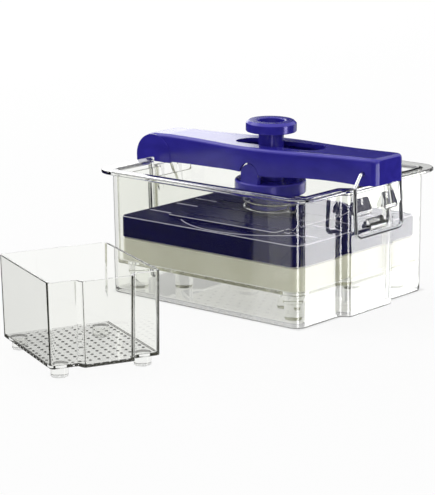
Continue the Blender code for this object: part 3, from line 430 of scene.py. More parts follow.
def painted_edge_highlight(tree, colour, edge):
    """A painted highlight: the colour turns to the edge colour where the surface leans halfway."""
    direction = add_node(tree, "TexCoord")["Normal"]
    z = add_node(tree, "SeparateXYZ", {"Vector": direction})["Z"]
    height = maths(tree, "POWER", maths(tree, "ABSOLUTE", z), 2)
    lean = maths(tree, "MULTIPLY", height, maths(tree, "SUBTRACT", 1, height))
    return add_node(tree, "Mix", {"Factor": maths(tree, "MULTIPLY", lean, 4), "A": colour,
                                  "B": (*edge, 1)}, data_type="RGBA")["Result"]


def moulded_plastic(name, colour, roughness, mirror, edge):
    """Gloss moulded plastic: faint flow marks in colour and roughness, and a fine skin.

    Rounded edges between level and upright faces carry a painted highlight in the edge colour,
    by the share 4 * z ** 2 * (1 - z ** 2) of the surface direction's height z.
    """
    made, tree = new_material(name)
    flow = object_noise(tree, scale=60, detail=3, stretch=(1, 3, 3))
    tint = two_tones(tree, flow, (0.35, scaled(colour, 0.9)), (0.65, scaled(colour, 1.08)))
    grain = object_noise(tree, scale=900, detail=2)
    shader = add_node(tree, "BsdfPrincipled", {
        "IOR": 1.5, "Specular IOR Level": mirror,
        # Base colour with a painted highlight on rounded edges
        "Base Color": painted_edge_highlight(tree, tint, edge),
        "Roughness": map_range(tree, flow, roughness * 0.85, roughness * 1.2),
        "Normal": bump(tree, grain, strength=0.02, distance=0.0002)})["BSDF"]
    return finished(made, shader)


def clear_plastic(name, tint, gloss, inner, leak=0.0):
    """Clear moulded plastic: it bends light, with faint flow lines and a slight warm tint.

    Its outer side mirrors a share gloss + (1 - gloss) * facing ** 5, where facing is 1 less the
    cosine between the surface and the line of sight. Its inner side mirrors where the light can't
    leave, by the share inner; of the rest the share leak goes straight on. Lamps shine straight
    through it.
    """
    made, tree = new_material(name)
    flow = object_noise(tree, scale=45, detail=2, stretch=(1, 1, 0.4))
    ripple = bump(tree, flow, strength=0.03, distance=0.0005)
    bent = add_node(tree, "BsdfRefraction", {
        "IOR": PLASTIC_IOR, "Roughness": 0, "Normal": ripple,
        "Color": two_tones(tree, flow, (0.3, tint), (0.7, scaled(tint, 1.006)))})["BSDF"]
    shine = add_node(tree, "BsdfGlossy", {
        "Color": (*WHITE, 1), "Normal": ripple,
        "Roughness": map_range(tree, flow, 0.01, 0.04)})["BSDF"]
    facing = add_node(tree, "LayerWeight", {"Blend": 0.5})["Facing"]
    inside = add_node(tree, "NewGeometry")["Backfacing"]
    outside = maths(tree, "SUBTRACT", 1, inside)
    trapped = add_node(tree, "Fresnel", {"IOR": PLASTIC_IOR})["Fac"]
    share = maths(tree, "MULTIPLY_ADD", maths(tree, "POWER", facing, 5), 1 - gloss, gloss)
    kept = maths(tree, "MULTIPLY", maths(tree, "POWER", trapped, 4), inner)
    mirrored = maths(tree, "ADD", maths(tree, "MULTIPLY", share, outside),
                     maths(tree, "MULTIPLY", kept, inside))
    stray = add_node(tree, "BsdfTransparent", {"Color": (leak, leak, leak * 0.8, 1)})["BSDF"]
    held = maths(tree, "MULTIPLY", maths(tree, "GREATER_THAN", trapped, 0.99), inside)
    surface = mix_shaders(tree, mirrored, mix_shaders(tree, held, bent, stray), shine)
    window = add_node(tree, "BsdfTransparent", {"Color": (*tint, 1)})["BSDF"]
    shadow = add_node(tree, "LightPath")["Is Shadow Ray"]
    return finished(made, mix_shaders(tree, shadow, surface, window))


def bright_steel(name, dull, bright):
    """Drawn stainless wire: faint draw marks between a dull and a bright tone."""
    made, tree = new_material(name)
    marks = object_noise(tree, scale=500, detail=2)
    shader = add_node(tree, "BsdfPrincipled", {
        "Metallic": 1, "Base Color": two_tones(tree, marks, (0.3, dull), (0.7, bright)),
        "Roughness": map_range(tree, marks, 0.08, 0.2)})["BSDF"]
    return finished(made, shader)


def soy_curd(name):
    """Pressed curd: cream, slightly mottled, with fine pores and a moist sheen."""
    made, tree = new_material(name)
    mottle = object_noise(tree, scale=40, detail=5)
    pores = object_noise(tree, scale=700, detail=5)
    shader = add_node(tree, "BsdfPrincipled", {
        "Roughness": 0.55, "Specular IOR Level": 0.15,
        "Base Color": two_tones(tree, mottle, (0.3, (0.84, 0.83, 0.70)), (0.7, (0.93, 0.92, 0.81))),
        "Normal": bump(tree, pores, strength=0.25, distance=0.0004)})["BSDF"]
    return finished(made, shader)


# Vessels

def stepped_end(half_x, bump_depth, bump_half, blend):
    """Points up a short end: x steps out by bump_depth * (1 - cos(pi * share)) / 2 and back."""
    share = np.linspace(0, 1, 9)
    rise = 0.5 - 0.5 * np.cos(pi * share)
    lower = np.stack([half_x + bump_depth * rise, -bump_half - blend * (1 - share)], -1)
    return np.concatenate([lower, (lower * (1, -1))[::-1]])


def outline(half_x, half_y, corner, bumps, bump_half, blend):
    """A rounded rectangle whose short ends step out, by the left and the right one of bumps."""
    left, right = bumps
    x, y, steps = half_x - corner, half_y - corner, 8
    return np.concatenate([
        arc(x, -y, corner, -90, 0, steps), stepped_end(half_x, right, bump_half, blend),
        arc(x, y, corner, 0, 90, steps), arc(-x, y, corner, 90, 180, steps),
        -stepped_end(half_x, left, bump_half, blend), arc(-x, -y, corner, 180, 270, steps)])


def tub_inset(height):
    return TUB_DRAFT / TUB_HEIGHT * (TUB_HEIGHT - height)


def tub_outline(offset, bump_depth=BUMP_DEPTH):
    """The tub's outline moved out by an offset."""
    return outline(TUB_LENGTH / 2 + offset, TUB_WIDTH / 2 + offset,
                   max(TUB_CORNER + offset, LEAST_CORNER), (bump_depth, bump_depth),
                   BUMP_HALF + offset, BUMP_BLEND)


def rim_outline(offset):
    """The tub's outline, whose end bumps stop under the flange."""
    return tub_outline(offset, 0 if offset > FLANGE_REACH / 2 else BUMP_DEPTH)


def notch(floor, top, radius, start, end):
    """A tool that opens an end wall between two x, from its top down to a floor."""
    line = rectangle(-HINGE_NOTCH_HALF, HINGE_NOTCH_HALF, floor, top + CUT)
    return prism("notch", rounded(line, radius, 4, closed=True), start, end, "X")


def tub_wall():
    """The outer tub: one profile with flange, carried round, then notch, lugs and catches."""
    rim_under = TUB_HEIGHT - FLANGE_THICK
    foot = -tub_inset(0)
    profile = rounded([
        (foot - NARROW_CAP, 0), (foot, 0), (0, rim_under), (FLANGE_REACH, rim_under),
        (FLANGE_REACH, TUB_HEIGHT), (-TUB_WALL, TUB_HEIGHT),
        (-TUB_WALL - tub_inset(TUB_FLOOR), TUB_FLOOR), (-TUB_WALL - CAP, TUB_FLOOR),
    ], TUB_FILLETS, 3)
    tub = carried_round("tub_wall", profile, rim_outline)
    start = -TUB_LENGTH / 2 - BUMP_DEPTH - FLANGE_REACH - CUT
    carve(tub, notch(HINGE_NOTCH_FLOOR, TUB_HEIGHT, HINGE_NOTCH_ROUND, start,
                     -TUB_LENGTH / 2 + TUB_WALL))
    for side in (-1, 1):
        join(tub, hinge_lug(side))
    for row in CATCHES:
        join(tub, catch(*row))
    reach = LUG_OUTER + CUT
    return carve(tub, rod("bore", HINGE_PIN_RADIUS + GAP, HINGE, -reach, reach))


def hinge_lug(side):
    """A lug of the hinge with its gusset down the wall: an arc joined to the wall by lines."""
    foot_z = HINGE.z - LUG_DROP
    face = -TUB_LENGTH / 2 - BUMP_DEPTH + tub_inset(foot_z)
    root = face + TUB_WALL / 2
    line = np.concatenate([arc(HINGE.x, HINGE.z, LUG_RADIUS, 20, 205, 24),
                           [(face, foot_z), (root, foot_z),
                            (root, HINGE_NOTCH_FLOOR - TUB_WALL)]])
    return prism("lug", line, *span(side, LUG_INNER, LUG_OUTER))


def catch(name, low_y, high_y, floor, height):
    """A wedge: its underside is hollowed by an arc for the wire, its face slopes to the wall."""
    face = TUB_LENGTH / 2 + BUMP_DEPTH - tub_inset(floor)
    root, tip, top = face - TUB_WALL / 2, face + CATCH_REACH, floor + height
    line = np.concatenate([
        [(root, floor + CATCH_LIP), (face, floor + CATCH_LIP)],
        arc(face + BAIL_WIRE, floor + CATCH_LIP / 2, BAIL_WIRE, 150, 30, 10),
        rounded([(tip - CATCH_LIP / 2, floor), (tip, floor + CATCH_LIP),
                 (tip, floor + CATCH_NOSE), (face, top), (root, top)], CATCH_ROUND, 4)])
    return prism(name, line, low_y, high_y)


def hole_pins(places, radius, low, high, sides):
    """Many upright pins as one mesh: one ring copied to each place."""
    angle = np.linspace(0, 2 * pi, sides, endpoint=False)
    flat = places[:, None, :] + radius * np.stack([np.cos(angle), np.sin(angle)], -1)
    verts = np.concatenate([np.insert(flat, 2, z, axis=2) for z in (low, high)], 1)
    base = (np.arange(len(places)) * 2 * sides)[:, None, None]
    i = np.arange(sides)
    walls = np.stack([i, (i + 1) % sides, (i + 1) % sides + sides, i + sides], -1)[None] + base
    caps = np.stack([i[::-1], i + sides])[None] + base
    faces = walls.reshape(-1, 4).tolist() + caps.reshape(-1, sides).tolist()
    return mesh_piece("pins", verts.reshape(-1, 3), faces)


def staggered(half_x, half_y, pitch):
    """Hole places in rows, every second row moved by half a pitch."""
    row_pitch = pitch * 0.866
    rows = np.arange(-int(half_y / row_pitch), int(half_y / row_pitch) + 1)
    columns = np.arange(-int(half_x / pitch) - 1, int(half_x / pitch) + 1)
    x = columns[None, :] * pitch + (rows[:, None] % 2) * pitch / 2
    y = rows[:, None] * row_pitch + 0 * x
    places = np.stack([x, y], -1).reshape(-1, 2)
    return places[np.abs(places[:, 0]) <= half_x]


def away_from(places, centres, reach):
    """The places that lie further than reach from every centre."""
    centres = np.asarray(centres, float)
    distance = np.linalg.norm(places[:, None] - centres[None], axis=2)
    return places[(distance > reach).all(axis=1)]


def add_feet(piece, places, profile):
    """Join a turned foot to a piece at each place."""
    for x, y in places:
        foot = turned("foot", profile, FOOT_EDGE, BAR_SIDES)
        join(piece, place(foot, Matrix.Translation((x, y, 0))))


def basket_offset(height, extra=0.0):
    return -TUB_WALL - BASKET_SIDE_GAP - tub_inset(height) - extra


def basket_shell():
    """The drain basket: a drafted wall with floor, stepped feet and a perforated floor."""
    top, under, floor = BASKET_TOP, BASKET_UNDER, BASKET_UNDER + BASKET_FLOOR
    profile = rounded([
        (basket_offset(under, CAP), under), (basket_offset(under), under),
        (basket_offset(top), top), (basket_offset(top, BASKET_WALL), top),
        (basket_offset(floor, BASKET_WALL), floor), (basket_offset(floor, WIDE_CAP), floor),
    ], BASKET_FILLETS, 3)
    basket = carried_round("basket_shell", profile, tub_outline)
    carve(basket, notch(top - BASKET_NOTCH, top, BASKET_NOTCH_ROUND,
                        -TUB_LENGTH / 2 - BUMP_DEPTH, -TUB_LENGTH / 2 + BASKET_NOTCH_END))
    feet = [corner for at in FOOT_PLACES for corner in four_corners(*at)]
    root, step = under + BASKET_FLOOR / 2, under - FOOT_STEP
    add_feet(basket, feet, [(0, root), (FOOT_STEP_RADIUS, root), (FOOT_STEP_RADIUS, step),
                            (FOOT_RADIUS, step), (FOOT_RADIUS, FOOT_UNDER), (0, FOOT_UNDER)])
    places = staggered(TUB_LENGTH / 2 - HOLE_MARGINS[0], TUB_WIDTH / 2 - HOLE_MARGINS[1],
                       HOLE_PITCH)
    places = away_from(places, feet, FOOT_STEP_RADIUS + HOLE_TO_FOOT)
    return carve(basket, hole_pins(places, HOLE_RADIUS, under - CUT, floor + CUT, 8))


def small_outline(inset):
    """The small basket's outline moved in by an inset, with a bump at one end."""
    return outline(SMALL_LENGTH / 2 - inset, SMALL_WIDTH / 2 - inset,
                   max(SMALL_CORNER - inset, LEAST_CORNER), (0, SMALL_BUMP),
                   SMALL_BUMP_HALF - inset, SMALL_BUMP_BLEND)


def small_tray():
    """The small basket: a drafted wall with a bump at one end, a perforated floor and four feet."""
    under, floor, top = SMALL_UNDER, SMALL_UNDER + SMALL_FLOOR, SMALL_TOP
    taper = SMALL_DRAFT / (top - under)
    profile = rounded([
        (CAP, under), (taper * (top - under), under), (0, top), (SMALL_WALL, top),
        (SMALL_WALL + taper * (top - floor), floor), (WIDE_CAP, floor),
    ], SMALL_FILLETS, 3)
    tray = carried_round("small_tray", profile, small_outline)
    feet = four_corners(SMALL_LENGTH / 2 - SMALL_FOOT_INSET, SMALL_WIDTH / 2 - SMALL_FOOT_INSET)
    root = (under + floor) / 2
    add_feet(tray, feet, [(0, 0), (SMALL_FOOT_RADIUS, 0), (SMALL_FOOT_RADIUS, root), (0, root)])
    x, y = np.meshgrid(*[(np.arange(count) - (count - 1) / 2) * pitch
                         for count, pitch in SMALL_HOLES])
    places = away_from(np.stack([x.ravel(), y.ravel()], -1), feet, SMALL_HOLE_TO_FOOT)
    carve(tray, hole_pins(places, SMALL_HOLE_RADIUS, under - CUT, floor + CUT, 10))
    return place(tray, Matrix.Translation(SMALL_CENTRE) @ Matrix.Rotation(SMALL_YAW, 4, "Z"))


# Block and plate

def slab(name, half_x, half_y, corner, low, high, edge):
    """A flat block: one outline whose inset follows a quarter arc at both edges."""
    profile = rounded([(-NARROW_CAP, low), (0, low), (0, high), (-NARROW_CAP, high)],
                      [0, edge, edge, 0], 4)
    return carried_round(name, profile, lambda offset: outline(
        half_x + offset, half_y + offset, corner, (0, 0), half_y / 3, half_y / 6))


def curd_block():
    low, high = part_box("tofu_block")
    return slab("curd_block", high.x, high.y, CURD_CORNER, low.z, high.z, CURD_EDGE)


def plate_piece():
    """The plate: its plateau, ribs that run on as grooves, and a round rib along both sides."""
    low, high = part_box("press_plate")
    top = high.z - PLATEAU_RISE
    root, crest, end = top - PLATEAU_RISE, top + RIB_RISE, high.x - RIB_END
    plate = slab("plate_piece", high.x, high.y, PLATE_CORNER, low.z, top, PLATE_EDGE)
    join(plate, slab("plateau", PLATEAU_LENGTH / 2, PLATEAU_WIDTH / 2, PLATEAU_CORNER,
                     root, high.z, PLATEAU_EDGE))
    for share in RIB_SHARES:
        y, half = share * PLATEAU_WIDTH / 2, RIB_WIDTH / 2
        line = rounded(rectangle(y - half, y + half, root, crest),
                       [0, 0, RIB_ROUND, RIB_ROUND], 3, closed=True)
        join(plate, prism("rib", line, -end, end, "X"))
        line = rectangle(y - GROOVE_HALF, y + GROOVE_HALF, high.z - GROOVE_DEPTH, high.z + CUT)
        carve(plate, prism("groove", line, -end, end, "X"))
    for side in (-1, 1):
        bow = arc(*RING_CENTRE, RING_RADIUS, *RING_SPAN, 60) * (1, -side)
        join(plate, tube("ring", np.insert(bow, 2, top, axis=1), RING_WIRE, (0, 0, 1), 10))
    return soften(plate, PLATE_BEVEL)


# Presser, shoe and knob, turned about the tilted stem

STACK = Matrix.Translation(PIVOT) @ Matrix.Rotation(PRESS_TILT, 4, "Y")


def ring_profile(bore, radius, top, under):
    """A closed profile of a ring or drum with a bore."""
    return [(bore, top), (radius, top), (radius, under), (bore, under), (bore, top)]


def presser_body():
    """The cup: a turned drum with rounded edges and two round-headed ears."""
    cup = turned("presser_body", ring_profile(CUP_BORE, CUP_RADIUS, CUP_TOP, CUP_UNDER),
                 CUP_ROUND, DRUM_SIDES)
    low, inner = (CUP_TOP + CUP_UNDER) / 2, EAR_OUTER - EAR_THICK
    line = np.concatenate([arc(0, 0, EAR_RADIUS, 0, 180, 32),
                           [(-EAR_RADIUS, low), (EAR_RADIUS, low)]])
    for side in (-1, 1):
        join(cup, prism("ear", line, *span(side, inner, EAR_OUTER)))
        carve(cup, rod("bore", EAR_PIN_RADIUS + GAP, Vector(),
                       *span(side, inner - CUT, EAR_OUTER - EAR_PIN_COVER), 0))
    return place(soften(cup, CUP_BEVEL), STACK)


def stack_piece(name, profile, radius, sides=TURNED_SIDES):
    return place(turned(name, profile, radius, sides), STACK)


def knob_cap():
    """The knob: a low drum with a wide chamfer round its top, a round recess and a crisp foot."""
    floor = KNOB_TOP - KNOB_RECESS
    return stack_piece("knob_cap", [
        (STEM_BORE, floor), (RECESS_FOOT, floor), (RECESS_WALL, KNOB_TOP - RECESS_EDGE),
        (RECESS_LIP, KNOB_TOP), (KNOB_RADIUS - KNOB_CHAMFER, KNOB_TOP),
        (KNOB_RADIUS, KNOB_TOP - KNOB_CHAMFER), (KNOB_RADIUS, KNOB_UNDER),
        (STEM_BORE, KNOB_UNDER), (STEM_BORE, floor)], KNOB_ROUND, DRUM_SIDES)


def stem_piece():
    profile = ring_profile(STEM_BORE, STEM_RADIUS, STEM_TOP, SHOE_TOP + GAP)
    return stack_piece("stem_piece", profile, STEM_ROUND)


def shoe_piece():
    """The shoe: its sole is a spherical cap about the ear pivot."""
    sole = np.linspace(SHOE_RADIUS, SHOE_POCKET, 9)
    profile = [(STEM_BORE, SHOE_TOP), (SHOE_RADIUS, SHOE_TOP),
               *[(r, -np.sqrt(DOME_RADIUS ** 2 - r ** 2)) for r in sole],
               (SHOE_POCKET, SHOE_SEAT), (STEM_BORE, SHOE_SEAT), (STEM_BORE, SHOE_TOP)]
    return stack_piece("shoe_piece", profile, SHOE_ROUND)


def washer_piece():
    profile = ring_profile(CUP_BORE, WASHER_RADIUS, WASHER_TOP, WASHER_UNDER)
    return stack_piece("washer_piece", profile, WASHER_ROUND)


def screw(name, head_under, length, up):
    """A pan-head screw with a shank."""
    crown, tip = head_under + up * HEAD_HEIGHT, head_under - up * length
    return stack_piece(name, [
        (0, crown), (HEAD_RADIUS - HEAD_ROUND, crown), (HEAD_RADIUS, crown - up * HEAD_ROUND),
        (HEAD_RADIUS, head_under), (SHANK_RADIUS, head_under), (SHANK_RADIUS, tip), (0, tip)],
        SCREW_ROUND, SCREW_SIDES)


def spring_coil():
    """The spring: a circular helix swept by the wire."""
    radius = SPRING_OUTER - SPRING_WIRE / 2
    top = WASHER_UNDER - GAP - SPRING_WIRE / 2
    angle = np.linspace(0, 2 * pi * SPRING_TURNS, int(SPRING_TURNS * 48))
    path = np.stack([radius * np.cos(angle), radius * np.sin(angle),
                     top - SPRING_PITCH * angle / (2 * pi)], -1)
    return place(tube("spring_coil", path, SPRING_WIRE / 2, (0, 0, 1), 12), STACK)


# Lever, bail and hinge

def smooth_table(place_at, values, x):
    """Cubic Hermite through a table, with central slopes."""
    slope = np.gradient(values, place_at)
    i = np.clip(np.searchsorted(place_at, x) - 1, 0, len(place_at) - 2)
    width = place_at[i + 1] - place_at[i]
    t = (x - place_at[i]) / width
    return ((2 * t ** 3 - 3 * t ** 2 + 1) * values[i] + (t ** 3 - 2 * t ** 2 + t) * width * slope[i]
            + (3 * t ** 2 - 2 * t ** 3) * values[i + 1] + (t ** 3 - t ** 2) * width * slope[i + 1])


def lever_loft(name, inset, top_inset, drop, rounding):
    """The lever's outer or inner form: a round-shouldered section carried from heel to end.

    Sections are (x, half width, under, top): a quarter circle at the heel, the table's smooth
    curves along the run, and a quarter circle at the end.
    """
    shares = np.array(LEVER_SHARES)
    spans = np.where(shares[:, 0] < 0, PIVOT.x - CHEEK[0], LEVER_END_X - PIVOT.x)
    table_x = PIVOT.x + shares[:, 0] * spans
    half = between((LEVER_END_HALF, LEVER_WIDE_HALF), shares[:, 1])
    under, top = between(LEVER_UNDERS, shares[:, 2]), between(LEVER_TOPS, shares[:, 3])
    radius = CHEEK_RADIUS + LEVER_ROUND / 4
    heel_angle = np.radians(np.linspace(178, 90, 20))
    heel_x = CHEEK[0] + (radius - inset) * np.cos(heel_angle)
    share = (heel_x - (CHEEK[0] - radius)) / (table_x[0] - (CHEEK[0] - radius))
    heel = np.stack([heel_x, between((LEVER_HEEL_HALF, half[0]), share) - inset,
                     between((LEVER_HEEL_UNDER, under[0]), share),
                     CHEEK[1] + (radius - top_inset) * np.sin(heel_angle)], -1)
    x = np.linspace(table_x[0], table_x[-1], 90)
    run = np.stack([x, smooth_table(table_x, half, x) - inset, smooth_table(table_x, under, x),
                    smooth_table(table_x, top, x) - top_inset], -1)
    corner, quarter = LEVER_CORNER, np.linspace(0, pi / 2, 8)
    nose = np.stack([LEVER_END_X - inset - corner + corner * np.sin(quarter),
                     LEVER_END_HALF - inset - corner * (1 - np.cos(quarter)),
                     np.full_like(quarter, LEVER_UNDERS[1]),
                     LEVER_TOPS[1] - top_inset - corner / 3 * (1 - np.cos(quarter))], -1)
    ring_x, half, under, top = np.concatenate([heel, run, nose]).T[:, :, None]
    bend = np.linspace(0, pi / 2, 7)
    size = np.minimum(rounding, (top - under) / 3)
    y_shoulder, z_shoulder = size * (1 - np.cos(bend)) - half, top - size * (1 - np.sin(bend))
    y = np.concatenate([-half, y_shoulder, -y_shoulder[:, ::-1], half], 1)
    z = np.concatenate([under - drop, z_shoulder, z_shoulder[:, ::-1], under - drop], 1)
    return skin(name, np.stack([ring_x + 0 * y, y, z], -1))


def lever_body():
    """The channel lever: outer form less inner form, with cheeks, bosses, slot and notches."""
    body = lever_loft("lever_body", 0, 0, 0, LEVER_ROUND)
    carve(body, lever_loft("hollow", LEVER_WALL, LEVER_TOP_WALL, CUT, LEVER_ROUND / 4))
    floor = LEVER_HEEL_UNDER + LEVER_WALL / 2
    sweep = np.degrees(np.arcsin((CHEEK[1] - floor) / CHEEK_RADIUS))
    cheek = arc(*CHEEK, CHEEK_RADIUS, -sweep, 180 + sweep, 64)
    roof = between(LEVER_TOPS, 0.25) - LEVER_TOP_WALL / 2
    boss = np.concatenate([arc(PIVOT.x, PIVOT.z, EAR_BOSS_RADIUS, 180, 360, 20),
                           [(PIVOT.x + EAR_BOSS_RADIUS, roof), (PIVOT.x - EAR_BOSS_RADIUS, roof)]])
    for side in (-1, 1):
        join(body, prism("cheek", cheek, *span(side, LEVER_HEEL_HALF - LEVER_WALL / 2,
                                               LEVER_HEEL_HALF + CHEEK_RISE)),
             prism("boss", boss, *span(side, EAR_BOSS_INNER, EAR_BOSS_OUTER)))
    for side in (-1, 1):
        carve(body, rod("bore", EAR_PIN_RADIUS + GAP, PIVOT,
                        *span(side, EAR_BOSS_INNER - CUT, EAR_OUTER + GAP), 0))
    slot_half = STEM_RADIUS + SLOT_CLEARANCE
    line = np.concatenate([
        arc(PIVOT.x + SLOT_AHEAD - slot_half, 0, slot_half, -90, 90, 32),
        arc(PIVOT.x - SLOT_BEHIND + slot_half, 0, slot_half, 90, 270, 32)])
    carve(body, prism("slot", line, PIVOT.z, LEVER_TOPS[1] + CUT, "Z"))
    radius, low = EAR_RADIUS + EAR_NOTCH_CLEARANCE, PIVOT.z - EAR_RADIUS - CUT
    line = np.concatenate([arc(PIVOT.x, PIVOT.z, radius, 0, 180, 32),
                           [(PIVOT.x - radius, low), (PIVOT.x + radius, low)]])
    for side in (-1, 1):
        carve(body, prism("ear_notch", line,
                          *span(side, EAR_OUTER - EAR_THICK - GAP, EAR_OUTER + CUT)))
    half = LEVER_HEEL_HALF - LEVER_WALL
    line = rectangle(HEEL_BACK - CUT, CHEEK[0] - CHEEK_RADIUS / 2,
                     LEVER_HEEL_UNDER - CUT, HINGE.z + HEEL_NOTCH_RISE)
    socket, bail_reach = LEVER_HEEL_HALF - LEVER_WALL / 4, LEVER_END_HALF + CUT
    carve(body, prism("heel_notch", line, -half, half),
          rod("socket", HINGE_PIN_RADIUS + GAP, HINGE, -socket, socket, 0),
          rod("bail_bore", BAIL_WIRE + BAIL_CLEARANCE, BAIL_PIVOT, -bail_reach, bail_reach, 0))
    return soften(body, LEVER_BEVEL)


def bail_wire():
    """The bail: a bent chain of lines with rounded corners, swept by the wire."""
    low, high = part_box("latch_bail")
    cross_x, cross_z = high.x - BAIL_WIRE, low.z + BAIL_WIRE
    lean = (cross_x - BAIL_PIVOT.x) / (BAIL_PIVOT.z - cross_z)
    half = [(BAIL_PIVOT.x, BAIL_END_Y, BAIL_PIVOT.z), (BAIL_PIVOT.x, BAIL_NECK_Y, BAIL_PIVOT.z),
            (BAIL_PIVOT.x + lean * BAIL_SHOULDER_DROP, BAIL_HALF,
             BAIL_PIVOT.z - BAIL_SHOULDER_DROP), (cross_x, BAIL_HALF, cross_z)]
    chain = [(x, -y, z) for x, y, z in half] + half[::-1]
    bends = [0, BAIL_BEND, BAIL_BEND, BAIL_CORNER]
    return tube("bail_wire", rounded(chain, bends + bends[::-1], 10), BAIL_WIRE, (1, 0, 0), 16)


def hinge_clip(name, side):
    """A push-on ring with an open mouth: two arcs about the pin, joined at the mouth's lips."""
    bore, outer = HINGE_PIN_RADIUS + GAP, LUG_INNER - GAP
    inner_half, outer_half = np.degrees(np.arcsin([CLIP_LIP / bore, CLIP_LIP / CLIP_RIM]))
    line = np.concatenate([
        arc(HINGE.x, HINGE.z, CLIP_RIM, outer_half - 90, 270 - outer_half, 48),
        arc(HINGE.x, HINGE.z, bore, 270 - inner_half, inner_half - 90, 48)])
    return prism(name, line, *span(side, outer - CLIP_THICK, outer))


# Build

CLEAR = clear_plastic("clear_wall", (0.980, 0.982, 0.972), gloss=0.04, inner=0.85)
CLEAR_INNER = clear_plastic("clear_basket", (0.980, 0.982, 0.972), gloss=0.004, inner=0.5, leak=0.5)
CLEAR_SMALL = clear_plastic("clear_small_basket", (0.983, 0.985, 0.975), gloss=0.04, inner=0.42,
                            leak=0.05)
# edge: the colour of a painted highlight on the indigo parts' rounded edges
BLUE = moulded_plastic("indigo_plastic", (0.027, 0.021, 0.30), roughness=0.19, mirror=0.28,
                       edge=(0.075, 0.062, 0.46))
# edge: a near-white painted highlight along the plate's rounded edges and lines
PLATE_BLUE = moulded_plastic("plate_indigo", (0.006, 0.005, 0.070), roughness=0.25, mirror=0.02,
                             edge=(0.90, 0.87, 1.00))
STEEL = bright_steel("wire_steel", (0.62, 0.63, 0.65), (0.80, 0.81, 0.83))
# Painted shade: the spring's steel is a darker copy of the wire steel, standing in for the dark
# surroundings that the coil mirrors
SHADED_SPRING_STEEL = bright_steel("shaded_spring_steel", (0.16, 0.16, 0.17), (0.50, 0.50, 0.52))
CURD = soy_curd("curd")

dress(tub_wall(), "tub", "outer_tub", CLEAR)
dress(basket_shell(), "basket", "pressing_basket", CLEAR_INNER)
dress(small_tray(), "small_basket", "small_basket", CLEAR_SMALL)
dress(curd_block(), "basket", "tofu_block", CURD)
dress(plate_piece(), "plate", "press_plate", PLATE_BLUE)
dress(lever_body(), "lever", "lever", BLUE)
dress(presser_body(), "presser", "presser_cup", BLUE)
dress(shoe_piece(), "shoe", "pressure_shoe", BLUE)
dress(stem_piece(), "knob", "knob_stem", BLUE)
dress(knob_cap(), "knob", "knob", BLUE)
dress(bail_wire(), "bail", "latch_bail", STEEL)
dress(spring_coil(), "presser", "coil_spring", SHADED_SPRING_STEEL)
dress(washer_piece(), "presser", "spring_washer", STEEL)
dress(screw("knob_screw_piece", KNOB_TOP - KNOB_RECESS + GAP, KNOB_SCREW_LENGTH, 1),
      "knob", "knob_screw", STEEL)
dress(screw("shoe_screw_piece", SHOE_SEAT - GAP, SHOE_SCREW_LENGTH, -1),
      "shoe", "shoe_screw", STEEL)
pin_half = LEVER_HEEL_HALF - LEVER_WALL / 2
dress(rod("hinge_rod", HINGE_PIN_RADIUS, HINGE, -pin_half, pin_half),
      "tub", "hinge_pin", STEEL)
for side, where in ((-1, "near"), (1, "far")):
    dress(hinge_clip("hinge_ring_" + where, side),
          "tub", "hinge_clip_" + where, STEEL)
    dress(rod("ear_pin_" + where, EAR_PIN_RADIUS, PIVOT,
              *span(side, EAR_BOSS_INNER, EAR_OUTER - EAR_PIN_COVER - GAP)),
          "lever", "presser_pin_" + where, STEEL)


# Stage, light and camera

FLOOR_HALF, FLOOR_GLOW, UNDER_TUB_GLOW = 4.0, 0.9, 0.4
AMBIENT = 0.75
AIM_HEIGHT, LAMP_DISTANCE, FLAG_DISTANCE = 0.05, 2.0, 2.4
INDIGO_LIGHT = (0.62, 0.56, 1.0)


def floor_material():
    """A pale floor that reads white to the camera and keeps a faint shadow.

    Its glow is lower under the tub's outline, as painted shade where the shadow shows more.
    """
    made, tree = new_material("pale_floor")
    paper = add_node(tree, "BsdfDiffuse", {"Color": (0.85, 0.85, 0.85, 1)})["BSDF"]
    glow = add_node(tree, "Emission")["Emission"]
    parts = add_node(tree, "SeparateXYZ", {"Vector": add_node(tree, "TexCoord")["Object"]})
    inside = [maths(tree, "LESS_THAN", maths(tree, "ABSOLUTE", parts[axis]), half)
              for axis, half in (("X", TUB_LENGTH / 2), ("Y", TUB_WIDTH / 2))]
    # Painted shade: a lower glow under the tub's outline, over the real shadow
    glowing = maths(tree, "MULTIPLY_ADD", maths(tree, "MULTIPLY", *inside),
                    UNDER_TUB_GLOW - FLOOR_GLOW, FLOOR_GLOW)
    shown = maths(tree, "MULTIPLY", seen_rays(tree), glowing)
    return finished(made, mix_shaders(tree, shown, paper, glow))


def seen_rays(tree):
    """1 for rays that show the background: the camera's, mirrored ones and those through glass."""
    rays = add_node(tree, "LightPath")
    direct = maths(tree, "MAXIMUM", rays["Is Camera Ray"], rays["Is Glossy Ray"])
    return maths(tree, "MAXIMUM", direct, rays["Is Transmission Ray"])


def room_world():
    """White where the background is seen or mirrored, and a plain soft light for the rest."""
    world = bpy.data.worlds.new("room")
    bpy.context.scene.world = world
    world.use_nodes = True
    tree = world.node_tree
    tree.nodes.clear()
    ambient, paper = [
        add_node(tree, "Background", {"Color": (*WHITE, 1), "Strength": strength})["Background"]
        for strength in (AMBIENT, 1)]
    add_node(tree, "OutputWorld", {"Surface": mix_shaders(tree, seen_rays(tree), ambient, paper)})


def heading(azimuth):
    """The level direction at an azimuth, counted as the camera's is."""
    return Vector((sin(radians(azimuth)), -cos(radians(azimuth)), 0))


